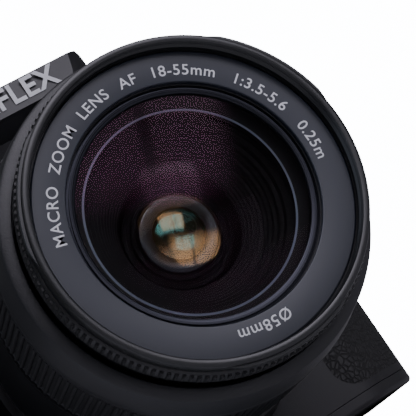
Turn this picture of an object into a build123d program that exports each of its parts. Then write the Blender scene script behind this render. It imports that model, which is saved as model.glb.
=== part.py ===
from build123d import *
import math
import os

# A digital single-lens reflex camera with its zoom lens mounted. Millimetres, +Z up. The lens looks
# along -Y and +X is to the right of someone facing it. The origin is the mouth of the tripod socket.

# ---------------------------------------------------------------- driving dimensions: body
BODY_LEFT = 71.6          # grip side, from the optical axis
BODY_RIGHT = 60.0         # terminal side, from the optical axis
SHOULDER_HEIGHT = 74.0    # flat top beside the viewfinder hump
HUMP_RISE = 25.7          # viewfinder hump above the shoulders
AXIS_HEIGHT = 42.5        # optical axis above the base
FLANGE_Y = -38.0          # lens mount face
FLANGE_FOCAL = 44.0       # mount face to image sensor
REAR_DEPTH = 15.0         # image sensor to rear face
FRONT_STEP = 13.0         # mount face to the body's front face
GRIP_PROUD = 22.0         # grip in front of the body's front face
SIDE_LEAN = 4.0           # each side leans in by this over the shoulder height
SLOPE_DROP = 8.0          # top of the grip falls by this towards the front
SLOPE_START_Y = -16.0
BOSS_BASE_RADIUS = 36.5   # raised collar round the mount
BOSS_TIP_RADIUS = 34.2
WALL = 2.0
SKIN = 0.8                # rubber skins set into the casings
SEAM = 0.15               # gap between neighbouring covers
GAP = 0.3                 # clearance round what moves
RUN = 0.05                # running fit, radial
TOP_EDGE_RADIUS = 4.0
BASE_EDGE_RADIUS = 1.2
BASE_CORNER = 8.0         # lower terminal-side corner seen from the front
BASE_SPLIT = 3.2          # height of the seam under the casings
TOP_SPLIT_DROP = 12.0     # seam of the top cover, below the shoulder
SPLIT_Y = 0.0             # seam between front and rear casing

# ---------------------------------------------------------------- driving dimensions: lens
LENS_LENGTH = 70.0        # mount face to the front rim
FILTER_RADIUS = 28.6      # inside wall of the 58 mm filter thread
FILTER_DEPTH = 3.2
FILTER_WALL = 1.5
HOOD_LUG_PROUD = 0.6
HOOD_LUG_ARC = 48.0
NAME_RING_WIDTH = 6.1
REAR_BARREL_LENGTH = 30.7
ZOOM_FACE_SET_BACK = 10.6 # zoom ring's front face behind the rim
FOCUS_RING_LENGTH = 3.6
TUBE_WALL = 1.5           # sliding tubes of the lens
MOUNT_RING_RADIUS = 32.5
MOUNT_THROAT = 27.0
MOUNT_RING_THICKNESS = 1.6
BAYONET_RADIUS = 31.8
BAYONET_TUBE_RADIUS = 25.5
BAYONET_BORE = 22.0
BAYONET_TUBE_DEPTH = 5.5  # lens tube behind the mount face

# ---------------------------------------------------------------- driving dimensions: fittings
TRIPOD_RADIUS = 3.0       # 1/4 inch 20 socket
TRIPOD_DEPTH = 6.0
SOCKET_RADIUS = 8.0
CAP_RISE = 0.8            # buttons stand proud of the cover
FLANGE_LIP = 0.8
FLANGE_THICKNESS = 0.8
CAP_ROUND = 0.35
SHUTTER_BUTTON_RADIUS = 5.5
MAIN_DIAL_RADIUS = 7.0
MAIN_DIAL_WIDTH = 9.0
MODE_DIAL_RADIUS = 9.0
MODE_DIAL_HEIGHT = 6.5
PAD_RADIUS = 11.0
SET_RADIUS = 4.5
SMALL_BUTTON_RADIUS = 2.8
RELEASE_BUTTON_RADIUS = 5.5
LOCK_PIN_RADIUS = 1.0
LCD_WIDTH = 66.0
LCD_HEIGHT = 48.0
BATTERY = (16.0, 34.0, 50.0)
MIRROR_LENGTH = 27.0
SHOE_SLOT_WIDTH = 18.7    # accessory shoe, between the rails
SHOE_LENGTH = 18.0

# ---------------------------------------------------------------- places worked out from them
SENSOR_Y = FLANGE_Y + FLANGE_FOCAL
REAR_Y = SENSOR_Y + REAR_DEPTH
FRONT_Y = FLANGE_Y + FRONT_STEP
GRIP_Y = FRONT_Y - GRIP_PROUD
BODY_HEIGHT = SHOULDER_HEIGHT + HUMP_RISE
TOP_SPLIT = SHOULDER_HEIGHT - TOP_SPLIT_DROP
BARREL_OUT = FILTER_RADIUS + FILTER_WALL - 0.2
BARREL_IN = BARREL_OUT - TUBE_WALL
SLEEVE_IN = BARREL_OUT + GAP
SLEEVE_OUT = SLEEVE_IN + 0.8
ZOOM_IN = SLEEVE_OUT + RUN
ZOOM_GRIP_RADIUS = ZOOM_IN + 2.4
REAR_BARREL_RADIUS = SLEEVE_OUT + 3.0
GUIDE_OUT = BARREL_IN - GAP
GUIDE_IN = GUIDE_OUT - TUBE_WALL
CELL_OUT = GUIDE_IN - GAP
CELL_IN = CELL_OUT - TUBE_WALL
SLOPE_RUN = SLOPE_START_Y - GRIP_Y
SLOPE_ANGLE = math.atan(SLOPE_DROP / SLOPE_RUN)
HUMP_REAR_Y = REAR_Y + 4.0
SHOE_Z = BODY_HEIGHT - 3.4
BAY_FLOOR = BODY_HEIGHT - 8.8
FLASH_PIVOT_Y = -8.0
FLASH_PIVOT_RADIUS = 4.2
FLASH_PIVOT_Z = BAY_FLOOR + GAP + FLASH_PIVOT_RADIUS
BAY_STEP_Y = FRONT_Y - 9.0
BAY_HALF_WIDTH = 21.0
EYE_Z = SHOULDER_HEIGHT + 4.5
FAR = 200.0

OPTICAL = Axis((0, FLANGE_Y, AXIS_HEIGHT), (0, -1, 0))
LENS = Plane(origin=(0, FLANGE_Y, AXIS_HEIGHT), x_dir=(1, 0, 0), z_dir=(0, 0, -1))


# ---------------------------------------------------------------- shared shapes
PLAN_CORNERS = [
    (BODY_RIGHT - 4, REAR_Y), (BODY_RIGHT, REAR_Y - 17), (BODY_RIGHT - 8, FRONT_Y + 9),
    (BODY_RIGHT - 20, FRONT_Y), (-REAR_BARREL_RADIUS, FRONT_Y), (-REAR_BARREL_RADIUS - 7, GRIP_Y),
    (-BODY_LEFT + 9.6, GRIP_Y), (-BODY_LEFT, GRIP_Y + 17), (-BODY_LEFT, REAR_Y - 9),
    (-BODY_LEFT + 11.6, REAR_Y),
]
PLAN_RADII = [9, 12, 14, 10, 5, 8, 10, 14, 10, 10]


def block(low, high):
    """A plain block between two opposite corners."""
    with BuildPart() as piece:
        with Locations(tuple((a + b) / 2 for a, b in zip(low, high))):
            Box(*[b - a for a, b in zip(low, high)])
    return piece.part


def body_block(inset):
    """The body below the hump, with its walls, base and top moved in by inset."""
    left_top = -BODY_LEFT + SIDE_LEAN
    right_top = BODY_RIGHT - SIDE_LEAN
    grip_top = SHOULDER_HEIGHT - SLOPE_DROP
    below = 10.0
    low_flare = SIDE_LEAN * below / SHOULDER_HEIGHT
    with BuildPart() as piece:
        with BuildSketch(Plane.XY):
            with BuildLine():
                FilletPolyline(*PLAN_CORNERS, radius=PLAN_RADII, close=True)
            make_face()
            if inset > 0:
                offset(amount=-inset)
        extrude(amount=SHOULDER_HEIGHT + 1)
        if inset == 0:
            fillet(piece.faces().sort_by(Axis.Z)[0].edges(), BASE_EDGE_RADIUS)
        with BuildSketch(Plane.YZ):
            with BuildLine():
                FilletPolyline(
                    (REAR_Y, 0), (REAR_Y, SHOULDER_HEIGHT), (SLOPE_START_Y, SHOULDER_HEIGHT),
                    (GRIP_Y, grip_top), (GRIP_Y, 0),
                    radius=[0, TOP_EDGE_RADIUS, 3 * TOP_EDGE_RADIUS, TOP_EDGE_RADIUS, 0], close=True)
            make_face()
            if inset > 0:
                offset(amount=-inset, kind=Kind.INTERSECTION)
        extrude(amount=FAR, both=True, mode=Mode.INTERSECT)
        with BuildSketch(Plane.XZ):
            with BuildLine():
                FilletPolyline(
                    (-BODY_LEFT - low_flare, -below), (left_top, SHOULDER_HEIGHT), (right_top, SHOULDER_HEIGHT),
                    (BODY_RIGHT + low_flare, -below), radius=[0, TOP_EDGE_RADIUS, TOP_EDGE_RADIUS, 0], close=True)
            make_face()
            if inset > 0:
                offset(amount=-inset, kind=Kind.INTERSECTION)
        extrude(amount=FAR, both=True, mode=Mode.INTERSECT)
        with BuildSketch(Plane.XZ):
            with Locations((BODY_RIGHT, 0)):
                Rectangle(2 * BASE_CORNER, 2 * BASE_CORNER)
            with Locations((BODY_RIGHT - BASE_CORNER, BASE_CORNER)):
                Circle(BASE_CORNER - inset, mode=Mode.SUBTRACT)
        extrude(amount=FAR, both=True, mode=Mode.SUBTRACT)
    return piece.part


def hump_block(inset):
    """The viewfinder hump with its overhanging nose, moved in by inset."""
    nose_y = GRIP_Y + 1
    with BuildPart() as piece:
        with BuildSketch(Plane.YZ):
            with BuildLine():
                Polyline(
                    (nose_y + 12, SHOULDER_HEIGHT - 14), (nose_y + 12, SHOULDER_HEIGHT),
                    (nose_y + 6, BAY_FLOOR - 2.8), (nose_y, BAY_FLOOR), (nose_y + 1, BODY_HEIGHT - 1.6),
                    (nose_y + 10, BODY_HEIGHT), (-4, BODY_HEIGHT), (-2, SHOE_Z), (HUMP_REAR_Y - 6, SHOE_Z),
                    (HUMP_REAR_Y, BAY_FLOOR - 1), (HUMP_REAR_Y, SHOULDER_HEIGHT - 14), close=True)
            make_face()
            if inset > 0:
                offset(amount=-inset, kind=Kind.INTERSECTION)
        extrude(amount=FAR, both=True)
        with BuildSketch(Plane.XZ):
            with BuildLine():
                FilletPolyline(
                    (-28, SHOULDER_HEIGHT - 14), (28, SHOULDER_HEIGHT - 14), (27, SHOULDER_HEIGHT + 6),
                    (18.5, BODY_HEIGHT), (-18.5, BODY_HEIGHT), (-27, SHOULDER_HEIGHT + 6),
                    radius=[0, 0, 8, 5, 5, 8], close=True)
            make_face()
            if inset > 0:
                offset(amount=-inset, kind=Kind.INTERSECTION)
        extrude(amount=FAR, both=True, mode=Mode.INTERSECT)
        with BuildSketch(Plane.XY):
            with BuildLine():
                FilletPolyline(
                    (-18, nose_y), (18, nose_y), (27, -22), (27, 10), (22, HUMP_REAR_Y),
                    (-22, HUMP_REAR_Y), (-27, 10), (-27, -22),
                    radius=[8, 8, 12, 10, 4, 4, 10, 12], close=True)
            make_face()
            if inset > 0:
                offset(amount=-inset, kind=Kind.INTERSECTION)
        extrude(amount=FAR, mode=Mode.INTERSECT)
    return piece.part


def slope_height(y):
    """Height of the sloping top of the grip at a distance y."""
    return SHOULDER_HEIGHT - (SLOPE_START_Y - y) * math.tan(SLOPE_ANGLE)


def button(plane, radius, reach=GAP, bore=0.0):
    """A push button: a cap through the cover and a flange behind it, reach behind the wall."""
    back = WALL + reach + FLANGE_THICKNESS
    with BuildPart() as piece:
        with BuildSketch(plane.offset(-back)):
            Circle(radius + FLANGE_LIP)
        extrude(amount=FLANGE_THICKNESS)
        with BuildSketch(plane.offset(-back)):
            Circle(radius)
        extrude(amount=back + CAP_RISE)
        fillet(piece.faces().sort_by(Axis(plane.origin, plane.z_dir))[-1].edges(), CAP_ROUND)
        if bore > 0:
            with BuildSketch(plane.offset(-back)):
                Circle(bore)
            extrude(amount=back + CAP_RISE, mode=Mode.SUBTRACT)
    return piece.part


def bore_through(plane, radius, depth, above=CAP_RISE):
    """The cylinder that clears a round hole from above the plane down to a depth."""
    with BuildPart() as piece:
        with BuildSketch(plane.offset(-depth)):
            Circle(radius)
        extrude(amount=depth + above)
    return piece.part


def screw(plane, shaft_radius, head_radius, head_depth, length):
    """A cross-head screw, its head flush with the plane and its shaft going in."""
    with BuildPart() as piece:
        with BuildSketch(plane.offset(-head_depth)):
            Circle(head_radius)
        extrude(amount=head_depth)
        with BuildSketch(plane.offset(-length)):
            Circle(shaft_radius)
        extrude(amount=length)
        with BuildSketch(plane.offset(-head_depth * 0.6)):
            Rectangle(head_radius * 1.3, head_radius * 0.3)
            Rectangle(head_radius * 0.3, head_radius * 1.3)
        extrude(amount=head_depth, mode=Mode.SUBTRACT)
    return piece.part


def rear_plane(x, z, y=REAR_Y):
    """A plane on the rear face, facing back."""
    return Plane(origin=(x, y, z), x_dir=(-1, 0, 0), z_dir=(0, 1, 0))


def top_plane(x, y, z=SHOULDER_HEIGHT):
    """A plane on a level top, facing up."""
    return Plane(origin=(x, y, z), x_dir=(1, 0, 0), z_dir=(0, 0, 1))


# ---------------------------------------------------------------- the whole form, hollow and seams
with BuildPart() as outer_body:
    add(body_block(0))
outer_form = outer_body.part
hump_form = hump_block(0)
with BuildPart() as inner_body:
    add(body_block(WALL))
    add(hump_block(WALL))
cavity = inner_body.part
with BuildPart() as skin_body:
    add(body_block(SKIN))
skin_core = skin_body.part

with BuildPart() as boss:
    with BuildSketch(LENS):
        with BuildLine():
            Polyline(
                (0, -FRONT_STEP - WALL), (BOSS_BASE_RADIUS, -FRONT_STEP - WALL), (BOSS_BASE_RADIUS, -FRONT_STEP),
                (BOSS_TIP_RADIUS, -MOUNT_RING_THICKNESS), (0, -MOUNT_RING_THICKNESS), close=True)
        make_face()
    revolve(axis=OPTICAL)
boss_form = boss.part
with BuildPart() as boss_clear:
    with BuildSketch(LENS):
        with BuildLine():
            Polyline(
                (0, -FRONT_STEP - WALL - SEAM), (BOSS_BASE_RADIUS + SEAM, -FRONT_STEP - WALL - SEAM),
                (BOSS_BASE_RADIUS + SEAM, -FRONT_STEP), (BOSS_TIP_RADIUS + SEAM, -MOUNT_RING_THICKNESS),
                (0, -MOUNT_RING_THICKNESS), close=True)
        make_face()
    revolve(axis=OPTICAL)
boss_room = boss_clear.part
BOSS_BORE = MOUNT_THROAT + 2.0

# ---------------------------------------------------------------- rubber skins
RELEASE_X = BOSS_BASE_RADIUS + RELEASE_BUTTON_RADIUS + 1.0
RELEASE_Z = AXIS_HEIGHT - 7.5
RELEASE_FACE_Y = FRONT_Y + 2.5
release_plane = Plane(origin=(RELEASE_X, RELEASE_FACE_Y, RELEASE_Z), x_dir=(1, 0, 0), z_dir=(0, -1, 0))
FRONT_PANEL_LEFT = 33.0
PANEL_LOW = 4.0 + BASE_EDGE_RADIUS
PANEL_TOP = TOP_SPLIT - 3.0
PANEL_HEIGHT = PANEL_TOP - PANEL_LOW
PANEL_MIDDLE = (PANEL_TOP + PANEL_LOW) / 2
PANEL_RIGHT = BODY_RIGHT + 10
GRIP_PANEL_RIGHT = -REAR_BARREL_RADIUS - 3.5

with BuildPart() as side_panel:
    with BuildSketch(Plane.XZ.offset(-SPLIT_Y + 4)):
        with Locations(((FRONT_PANEL_LEFT + PANEL_RIGHT) / 2, PANEL_MIDDLE)):
            RectangleRounded(PANEL_RIGHT - FRONT_PANEL_LEFT, PANEL_HEIGHT, 6)
    extrude(amount=FAR)
    add(outer_form, mode=Mode.INTERSECT)
    add(skin_core, mode=Mode.SUBTRACT)
    add(boss_room, mode=Mode.SUBTRACT)
    add(bore_through(release_plane, RELEASE_BUTTON_RADIUS + GAP, 15, above=6), mode=Mode.SUBTRACT)

with BuildPart() as grip_cover:
    with BuildSketch(Plane.XZ.offset(-SPLIT_Y + 4)):
        with Locations(((GRIP_PANEL_RIGHT - BODY_LEFT - 10) / 2, PANEL_MIDDLE)):
            RectangleRounded(BODY_LEFT + 10 + GRIP_PANEL_RIGHT, PANEL_HEIGHT, 6)
    extrude(amount=FAR)
    add(outer_form, mode=Mode.INTERSECT)
    add(skin_core, mode=Mode.SUBTRACT)

THUMB_WIDTH = 18.0
THUMB_HEIGHT = 14.0
THUMB_X = -BODY_LEFT + 12.0
THUMB_Z = TOP_SPLIT - 5.0 - THUMB_HEIGHT / 2
with BuildPart() as thumb_rest:
    with BuildSketch(Plane.XZ.offset(-SPLIT_Y - 8)):
        with Locations((THUMB_X, THUMB_Z)):
            RectangleRounded(THUMB_WIDTH, THUMB_HEIGHT, 5)
    extrude(amount=-FAR)
    add(outer_form, mode=Mode.INTERSECT)
    add(skin_core, mode=Mode.SUBTRACT)

# ---------------------------------------------------------------- where the controls sit
DIAL_X = -BODY_LEFT + 15.6
SHUTTER_Y = GRIP_Y + 13.0
slope_normal = (0, -math.sin(SLOPE_ANGLE), math.cos(SLOPE_ANGLE))
shutter_plane = Plane(origin=(DIAL_X, SHUTTER_Y, slope_height(SHUTTER_Y)), x_dir=(1, 0, 0), z_dir=slope_normal)
MAIN_DIAL_Y = SLOPE_START_Y - 4.0
MAIN_DIAL_Z = slope_height(MAIN_DIAL_Y) - MAIN_DIAL_RADIUS + 2.2
HUMP_SIDE_X = 27.0
MODE_X = -HUMP_SIDE_X - 5.0 - MODE_DIAL_RADIUS
MODE_Y = 1.0
POWER_X = DIAL_X
POWER_Y = 5.0
POWER_RADIUS = 4.5
PAD_X = -HUMP_SIDE_X - 6.0 - PAD_RADIUS
PAD_Z = AXIS_HEIGHT - 9.5
LOW_ROW_Z = 13.0
PLAY_X = PAD_X + 7.0
DELETE_X = PAD_X - 7.0
LCD_X = BODY_RIGHT - 12.0 - LCD_WIDTH / 2
LCD_Z = BASE_SPLIT + 6.0 + LCD_HEIGHT / 2
MENU_X = LCD_X + 26.0
MENU_Z = TOP_SPLIT + 4.4
FLANK_X = 27.1
FLANK_Z = SHOULDER_HEIGHT + 3.6
flash_button_plane = Plane(origin=(FLANK_X, -16, FLANK_Z), x_dir=(0, 1, 0), z_dir=(1, 0, 0))
diopter_plane = Plane(origin=(-FLANK_X, 5, FLANK_Z), x_dir=(0, -1, 0), z_dir=(-1, 0, 0))
FLANK_BUTTON_RADIUS = 2.4
LOCK_PIN_ANGLE = math.radians(-14.0)
LOCK_PIN_CIRCLE = (MOUNT_THROAT + MOUNT_RING_RADIUS) / 2
LOCK_X = LOCK_PIN_CIRCLE * math.cos(LOCK_PIN_ANGLE)
LOCK_Z = AXIS_HEIGHT + LOCK_PIN_CIRCLE * math.sin(LOCK_PIN_ANGLE)
lock_plane = Plane(origin=(LOCK_X, FLANGE_Y - 1.2, LOCK_Z), x_dir=(1, 0, 0), z_dir=(0, -1, 0))

# ---------------------------------------------------------------- battery bay, ports and lugs
BATTERY_X = -BODY_LEFT + 19.6
BATTERY_Y = GRIP_Y + 26.0
DOOR_WIDTH = BATTERY[0] + 4.0
DOOR_LENGTH = BATTERY[1] + 4.0
DOOR_X = BATTERY_X
DOOR_REAR_Y = BATTERY_Y + DOOR_LENGTH / 2
DOOR_FRONT_Y = BATTERY_Y - DOOR_LENGTH / 2
DOOR_HALF = WALL / 2
PORT_LOW = 14.0
PORT_HIGH = TOP_SPLIT - 8.0
PORT_FRONT_Y = REAR_Y - 15.5
PORT_REAR_Y = REAR_Y - 4.5
PORT_THICKNESS = 1.6
LUG_Z = TOP_SPLIT - 3.6
LUG_Y = REAR_Y - 13.0
LUG_THICKNESS = 1.6
LUG_LENGTH = 13.0


def port_room(extra):
    """The window in the terminal side, made larger by extra all round."""
    with BuildPart() as piece:
        with BuildSketch(Plane.YZ.offset(BODY_RIGHT - 14)):
            with Locations(((PORT_FRONT_Y + PORT_REAR_Y) / 2, (PORT_LOW + PORT_HIGH) / 2)):
                RectangleRounded(
                    PORT_REAR_Y - PORT_FRONT_Y + 2 * extra, PORT_HIGH - PORT_LOW + 2 * extra, 2.5 + extra)
        extrude(amount=30)
    return piece.part


def door_form(extra):
    """The battery door seen from the side: a plate with a round hinge edge, larger by extra."""
    with BuildPart() as piece:
        with BuildSketch(Plane.YZ.offset(DOOR_X)):
            with Locations(((DOOR_FRONT_Y + DOOR_REAR_Y - DOOR_HALF) / 2, DOOR_HALF)):
                Rectangle(DOOR_REAR_Y - DOOR_FRONT_Y - DOOR_HALF + 2 * extra, WALL)
            with Locations((DOOR_REAR_Y - DOOR_HALF, DOOR_HALF)):
                Circle(DOOR_HALF + extra)
        extrude(amount=DOOR_WIDTH / 2 + extra, both=True)
    return piece.part


def base_screw_places():
    """Centres of the base screws: two under each casing."""
    return [(30.0, FRONT_Y + 6), (-28.0, FRONT_Y + 6), (BODY_RIGHT - 16, REAR_Y - 8), (-30.0, REAR_Y - 8)]


# ---------------------------------------------------------------- covers
with BuildPart() as bottom_cover:
    add(outer_form)
    add(cavity, mode=Mode.SUBTRACT)
    add(block((-FAR, -FAR, -1), (FAR, FAR, BASE_SPLIT)), mode=Mode.INTERSECT)
    with Locations((0, 0, 0)):
        Cylinder(SOCKET_RADIUS + RUN, 2 * BASE_SPLIT + 2, mode=Mode.SUBTRACT)
    add(door_form(GAP), mode=Mode.SUBTRACT)
    with Locations((DOOR_X, DOOR_REAR_Y - DOOR_HALF, 0)):
        Box(DOOR_WIDTH + 2 * GAP, 2 * (DOOR_HALF + GAP), 2 * DOOR_HALF, mode=Mode.SUBTRACT)
    with Locations((DOOR_X, (DOOR_FRONT_Y + DOOR_REAR_Y - DOOR_HALF) / 2, 0)):
        Box(DOOR_WIDTH + 2 * GAP, DOOR_REAR_Y - DOOR_FRONT_Y - DOOR_HALF + 2 * GAP, 12, mode=Mode.SUBTRACT)
    for x, y in base_screw_places():
        with Locations((x, y, 0)):
            Cylinder(2.2 + RUN, 2.4, mode=Mode.SUBTRACT)
            Cylinder(1.0 + RUN, 20, mode=Mode.SUBTRACT)

CASING_LOW = BASE_SPLIT + SEAM
CASING_HIGH = TOP_SPLIT - SEAM
PILLAR_TOP = BASE_SPLIT + 5.3
SCREW_REACH = 6.5


def pillars(places, wall_y):
    """Screw pillars that stand on the wall behind them."""
    with BuildPart() as piece:
        for x, y in places:
            near, far_side = sorted((y, wall_y))
            with Locations((x, (near + far_side) / 2, (CASING_LOW + PILLAR_TOP) / 2)):
                Box(6, far_side - near + 5, PILLAR_TOP - CASING_LOW)
        add(outer_form, mode=Mode.INTERSECT)
        for x, y in places:
            with Locations((x, y, 0)):
                Cylinder(0.95 + RUN, 2 * (SCREW_REACH + 0.7), mode=Mode.SUBTRACT)
    return piece.part


with BuildPart() as front_casing:
    add(outer_form)
    add(cavity, mode=Mode.SUBTRACT)
    add(block((-FAR, -FAR, CASING_LOW), (FAR, SPLIT_Y - SEAM, CASING_HIGH)), mode=Mode.INTERSECT)
    add(side_panel.part, mode=Mode.SUBTRACT)
    add(grip_cover.part, mode=Mode.SUBTRACT)
    add(boss_form)
    add(bore_through(Plane(origin=(0, FLANGE_Y - 5, AXIS_HEIGHT), z_dir=(0, -1, 0)), BOSS_BORE, FRONT_STEP + 12),
        mode=Mode.SUBTRACT)
    add(pillars(base_screw_places()[:2], FRONT_Y))
    add(bore_through(release_plane, RELEASE_BUTTON_RADIUS + GAP, 15, above=6), mode=Mode.SUBTRACT)
    add(bore_through(lock_plane, LOCK_PIN_RADIUS + GAP, 20), mode=Mode.SUBTRACT)
    for corner in range(4):
        spoke = math.radians(45 + 90 * corner)
        with BuildSketch(Plane(origin=(0, FLANGE_Y, AXIS_HEIGHT), x_dir=(1, 0, 0), z_dir=(0, -1, 0))):
            with Locations((LOCK_PIN_CIRCLE * math.cos(spoke), LOCK_PIN_CIRCLE * math.sin(spoke))):
                Circle(0.9)
        extrude(amount=-7, mode=Mode.SUBTRACT)

lug_rooms = []
with BuildPart() as strap_lugs:
    for side, reach in ((-1, BODY_LEFT), (1, BODY_RIGHT)):
        surface_x = side * (reach - SIDE_LEAN * LUG_Z / SHOULDER_HEIGHT)
        with BuildSketch(Plane.XY.offset(LUG_Z - LUG_THICKNESS / 2)):
            with Locations((surface_x + side * 0.5, LUG_Y)):
                RectangleRounded(10, LUG_LENGTH, 2.5)
            with Locations((surface_x + side * 2.6, LUG_Y)):
                SlotOverall(LUG_LENGTH - 4, 2.8, rotation=90, mode=Mode.SUBTRACT)
        extrude(amount=LUG_THICKNESS)
for side, reach in ((-1, BODY_LEFT), (1, BODY_RIGHT)):
    surface_x = side * (reach - SIDE_LEAN * LUG_Z / SHOULDER_HEIGHT)
    half = LUG_THICKNESS / 2 + RUN
    lug_rooms.append(block((surface_x - 8, LUG_Y - LUG_LENGTH / 2 - RUN, LUG_Z - half),
                           (surface_x + 8, LUG_Y + LUG_LENGTH / 2 + RUN, LUG_Z + half)))

LCD_EDGE = 2.0
with BuildPart() as rear_casing:
    add(outer_form)
    add(cavity, mode=Mode.SUBTRACT)
    add(block((-FAR, SPLIT_Y, CASING_LOW), (FAR, FAR, CASING_HIGH)), mode=Mode.INTERSECT)
    add(side_panel.part, mode=Mode.SUBTRACT)
    add(grip_cover.part, mode=Mode.SUBTRACT)
    add(thumb_rest.part, mode=Mode.SUBTRACT)
    for room in lug_rooms:
        add(room, mode=Mode.SUBTRACT)
    with BuildSketch(rear_plane(LCD_X, LCD_Z)):
        RectangleRounded(LCD_WIDTH, LCD_HEIGHT, 2.5)
    extrude(amount=-1.2, mode=Mode.SUBTRACT)
    with BuildSketch(rear_plane(LCD_X, LCD_Z)):
        Rectangle(LCD_WIDTH - 2 * LCD_EDGE, LCD_HEIGHT - 2 * LCD_EDGE)
    extrude(amount=-2 * WALL, mode=Mode.SUBTRACT)
    add(port_room(GAP), mode=Mode.SUBTRACT)
    add(pillars(base_screw_places()[2:], REAR_Y))
    add(bore_through(rear_plane(PAD_X, PAD_Z), PAD_RADIUS + GAP, 2 * WALL), mode=Mode.SUBTRACT)
    for x in (PLAY_X, DELETE_X):
        add(bore_through(rear_plane(x, LOW_ROW_Z), SMALL_BUTTON_RADIUS + GAP, 2 * WALL), mode=Mode.SUBTRACT)


def flash_bay(extra):
    """The space of the flash head above the bay floor, made larger by extra."""
    with BuildPart() as piece:
        with BuildSketch(Plane.YZ):
            with BuildLine():
                Polyline(
                    (GRIP_Y - 10, BAY_FLOOR + GAP - extra), (FLASH_PIVOT_Y, BAY_FLOOR + GAP - extra),
                    (FLASH_PIVOT_Y, BODY_HEIGHT + 5), (GRIP_Y - 10, BODY_HEIGHT + 5), close=True)
            make_face()
            with Locations((FLASH_PIVOT_Y, FLASH_PIVOT_Z)):
                Circle(FLASH_PIVOT_RADIUS + extra)
        extrude(amount=FAR, both=True)
        with BuildSketch(Plane.XY.offset(BAY_FLOOR - 5)):
            with Locations((0, (BAY_STEP_Y - FAR) / 2 + extra)):
                Rectangle(FAR, FAR + BAY_STEP_Y)
            with Locations((0, 0)):
                Rectangle(2 * BAY_HALF_WIDTH + 2 * extra, FAR)
        extrude(amount=40, mode=Mode.INTERSECT)
    return piece.part


eye_room = block((-11, HUMP_REAR_Y - 6, EYE_Z - 6), (11, HUMP_REAR_Y + 1, EYE_Z + 6))
dial_room = block(
    (DIAL_X - MAIN_DIAL_WIDTH / 2 - GAP, MAIN_DIAL_Y - MAIN_DIAL_RADIUS - GAP, MAIN_DIAL_Z - 8),
    (DIAL_X + MAIN_DIAL_WIDTH / 2 + GAP, MAIN_DIAL_Y + MAIN_DIAL_RADIUS + GAP, SHOULDER_HEIGHT + 5))
AXLE_RADIUS = 1.2
AXLE_X = MAIN_DIAL_WIDTH / 2 + 2.4
MODE_SHAFT = 3.0
POWER_SHAFT = 1.5

with BuildPart() as bay_fill:
    add(hump_form)
    add(block((-FAR, -FAR, BAY_FLOOR - WALL), (FAR, FLASH_PIVOT_Y + FLASH_PIVOT_RADIUS + WALL, FAR)),
        mode=Mode.INTERSECT)

with BuildPart() as dial_bearings:
    for side in (-1, 1):
        with Locations((DIAL_X + side * (MAIN_DIAL_WIDTH / 2 + GAP + 1.0), MAIN_DIAL_Y, MAIN_DIAL_Z)):
            Box(2.0, 6, 2 * MAIN_DIAL_RADIUS)
    add(outer_form, mode=Mode.INTERSECT)
    with Locations(Plane(origin=(DIAL_X, MAIN_DIAL_Y, MAIN_DIAL_Z), z_dir=(1, 0, 0))):
        Cylinder(AXLE_RADIUS + RUN, 4 * MAIN_DIAL_WIDTH, mode=Mode.SUBTRACT)

with BuildPart() as top_cover:
    add(outer_form)
    add(hump_form)
    add(cavity, mode=Mode.SUBTRACT)
    add(bay_fill.part)
    add(flash_bay(GAP), mode=Mode.SUBTRACT)
    add(block((-FAR, FLASH_PIVOT_Y - 1, SHOE_Z), (FAR, -1.9, FAR)), mode=Mode.SUBTRACT)
    add(dial_bearings.part)
    add(block((-FAR, -FAR, TOP_SPLIT), (FAR, FAR, FAR)), mode=Mode.INTERSECT)
    add(boss_room, mode=Mode.SUBTRACT)
    add(eye_room, mode=Mode.SUBTRACT)
    add(dial_room, mode=Mode.SUBTRACT)
    add(bore_through(shutter_plane, SHUTTER_BUTTON_RADIUS + GAP, 2 * WALL), mode=Mode.SUBTRACT)
    add(bore_through(top_plane(MODE_X, MODE_Y), MODE_SHAFT + RUN, 2 * WALL), mode=Mode.SUBTRACT)
    add(bore_through(top_plane(POWER_X, POWER_Y), POWER_SHAFT + RUN, 2 * WALL), mode=Mode.SUBTRACT)
    add(bore_through(rear_plane(MENU_X, MENU_Z), SMALL_BUTTON_RADIUS + GAP, 2 * WALL), mode=Mode.SUBTRACT)
    add(bore_through(flash_button_plane, FLANK_BUTTON_RADIUS + GAP, 2 * WALL), mode=Mode.SUBTRACT)
    add(bore_through(diopter_plane, MODE_SHAFT / 2 + RUN, 2 * WALL), mode=Mode.SUBTRACT)

# ---------------------------------------------------------------- inside the body
BOX_HALF_X = 20.0
BOX_HALF_Z = 18.0
BOX_WALL = 1.5
BOX_REAR_Y = SENSOR_Y - 10.5
BOX_HIGH = AXIS_HEIGHT + BOX_HALF_Z
SCREEN_SIZE = (26.0, 19.0)
SCREEN_Y = BOX_REAR_Y - 15.5
MIRROR_PIVOT_Y = BOX_REAR_Y - 3.0
MIRROR_PIVOT_Z = BOX_HIGH - 3.6
MIRROR_THICKNESS = 1.2
MIRROR_HALF_WIDTH = 14.5

with BuildPart() as mirror_box:
    with BuildSketch(Plane.XZ.offset(-BOX_REAR_Y)):
        with Locations((0, AXIS_HEIGHT)):
            Rectangle(2 * BOX_HALF_X, 2 * BOX_HALF_Z)
            Rectangle(2 * (BOX_HALF_X - BOX_WALL), 2 * (BOX_HALF_Z - BOX_WALL), mode=Mode.SUBTRACT)
    extrude(amount=BOX_REAR_Y - FLANGE_Y - BAYONET_TUBE_DEPTH - 0.5)
    with Locations((0, SCREEN_Y, BOX_HIGH)):
        Box(SCREEN_SIZE[0] - 2, SCREEN_SIZE[1] - 2, 10, mode=Mode.SUBTRACT)
    with Locations(Plane(origin=(0, MIRROR_PIVOT_Y, MIRROR_PIVOT_Z), z_dir=(1, 0, 0))):
        Cylinder(0.8 + RUN, 2 * BOX_HALF_X + 2, mode=Mode.SUBTRACT)

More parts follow.
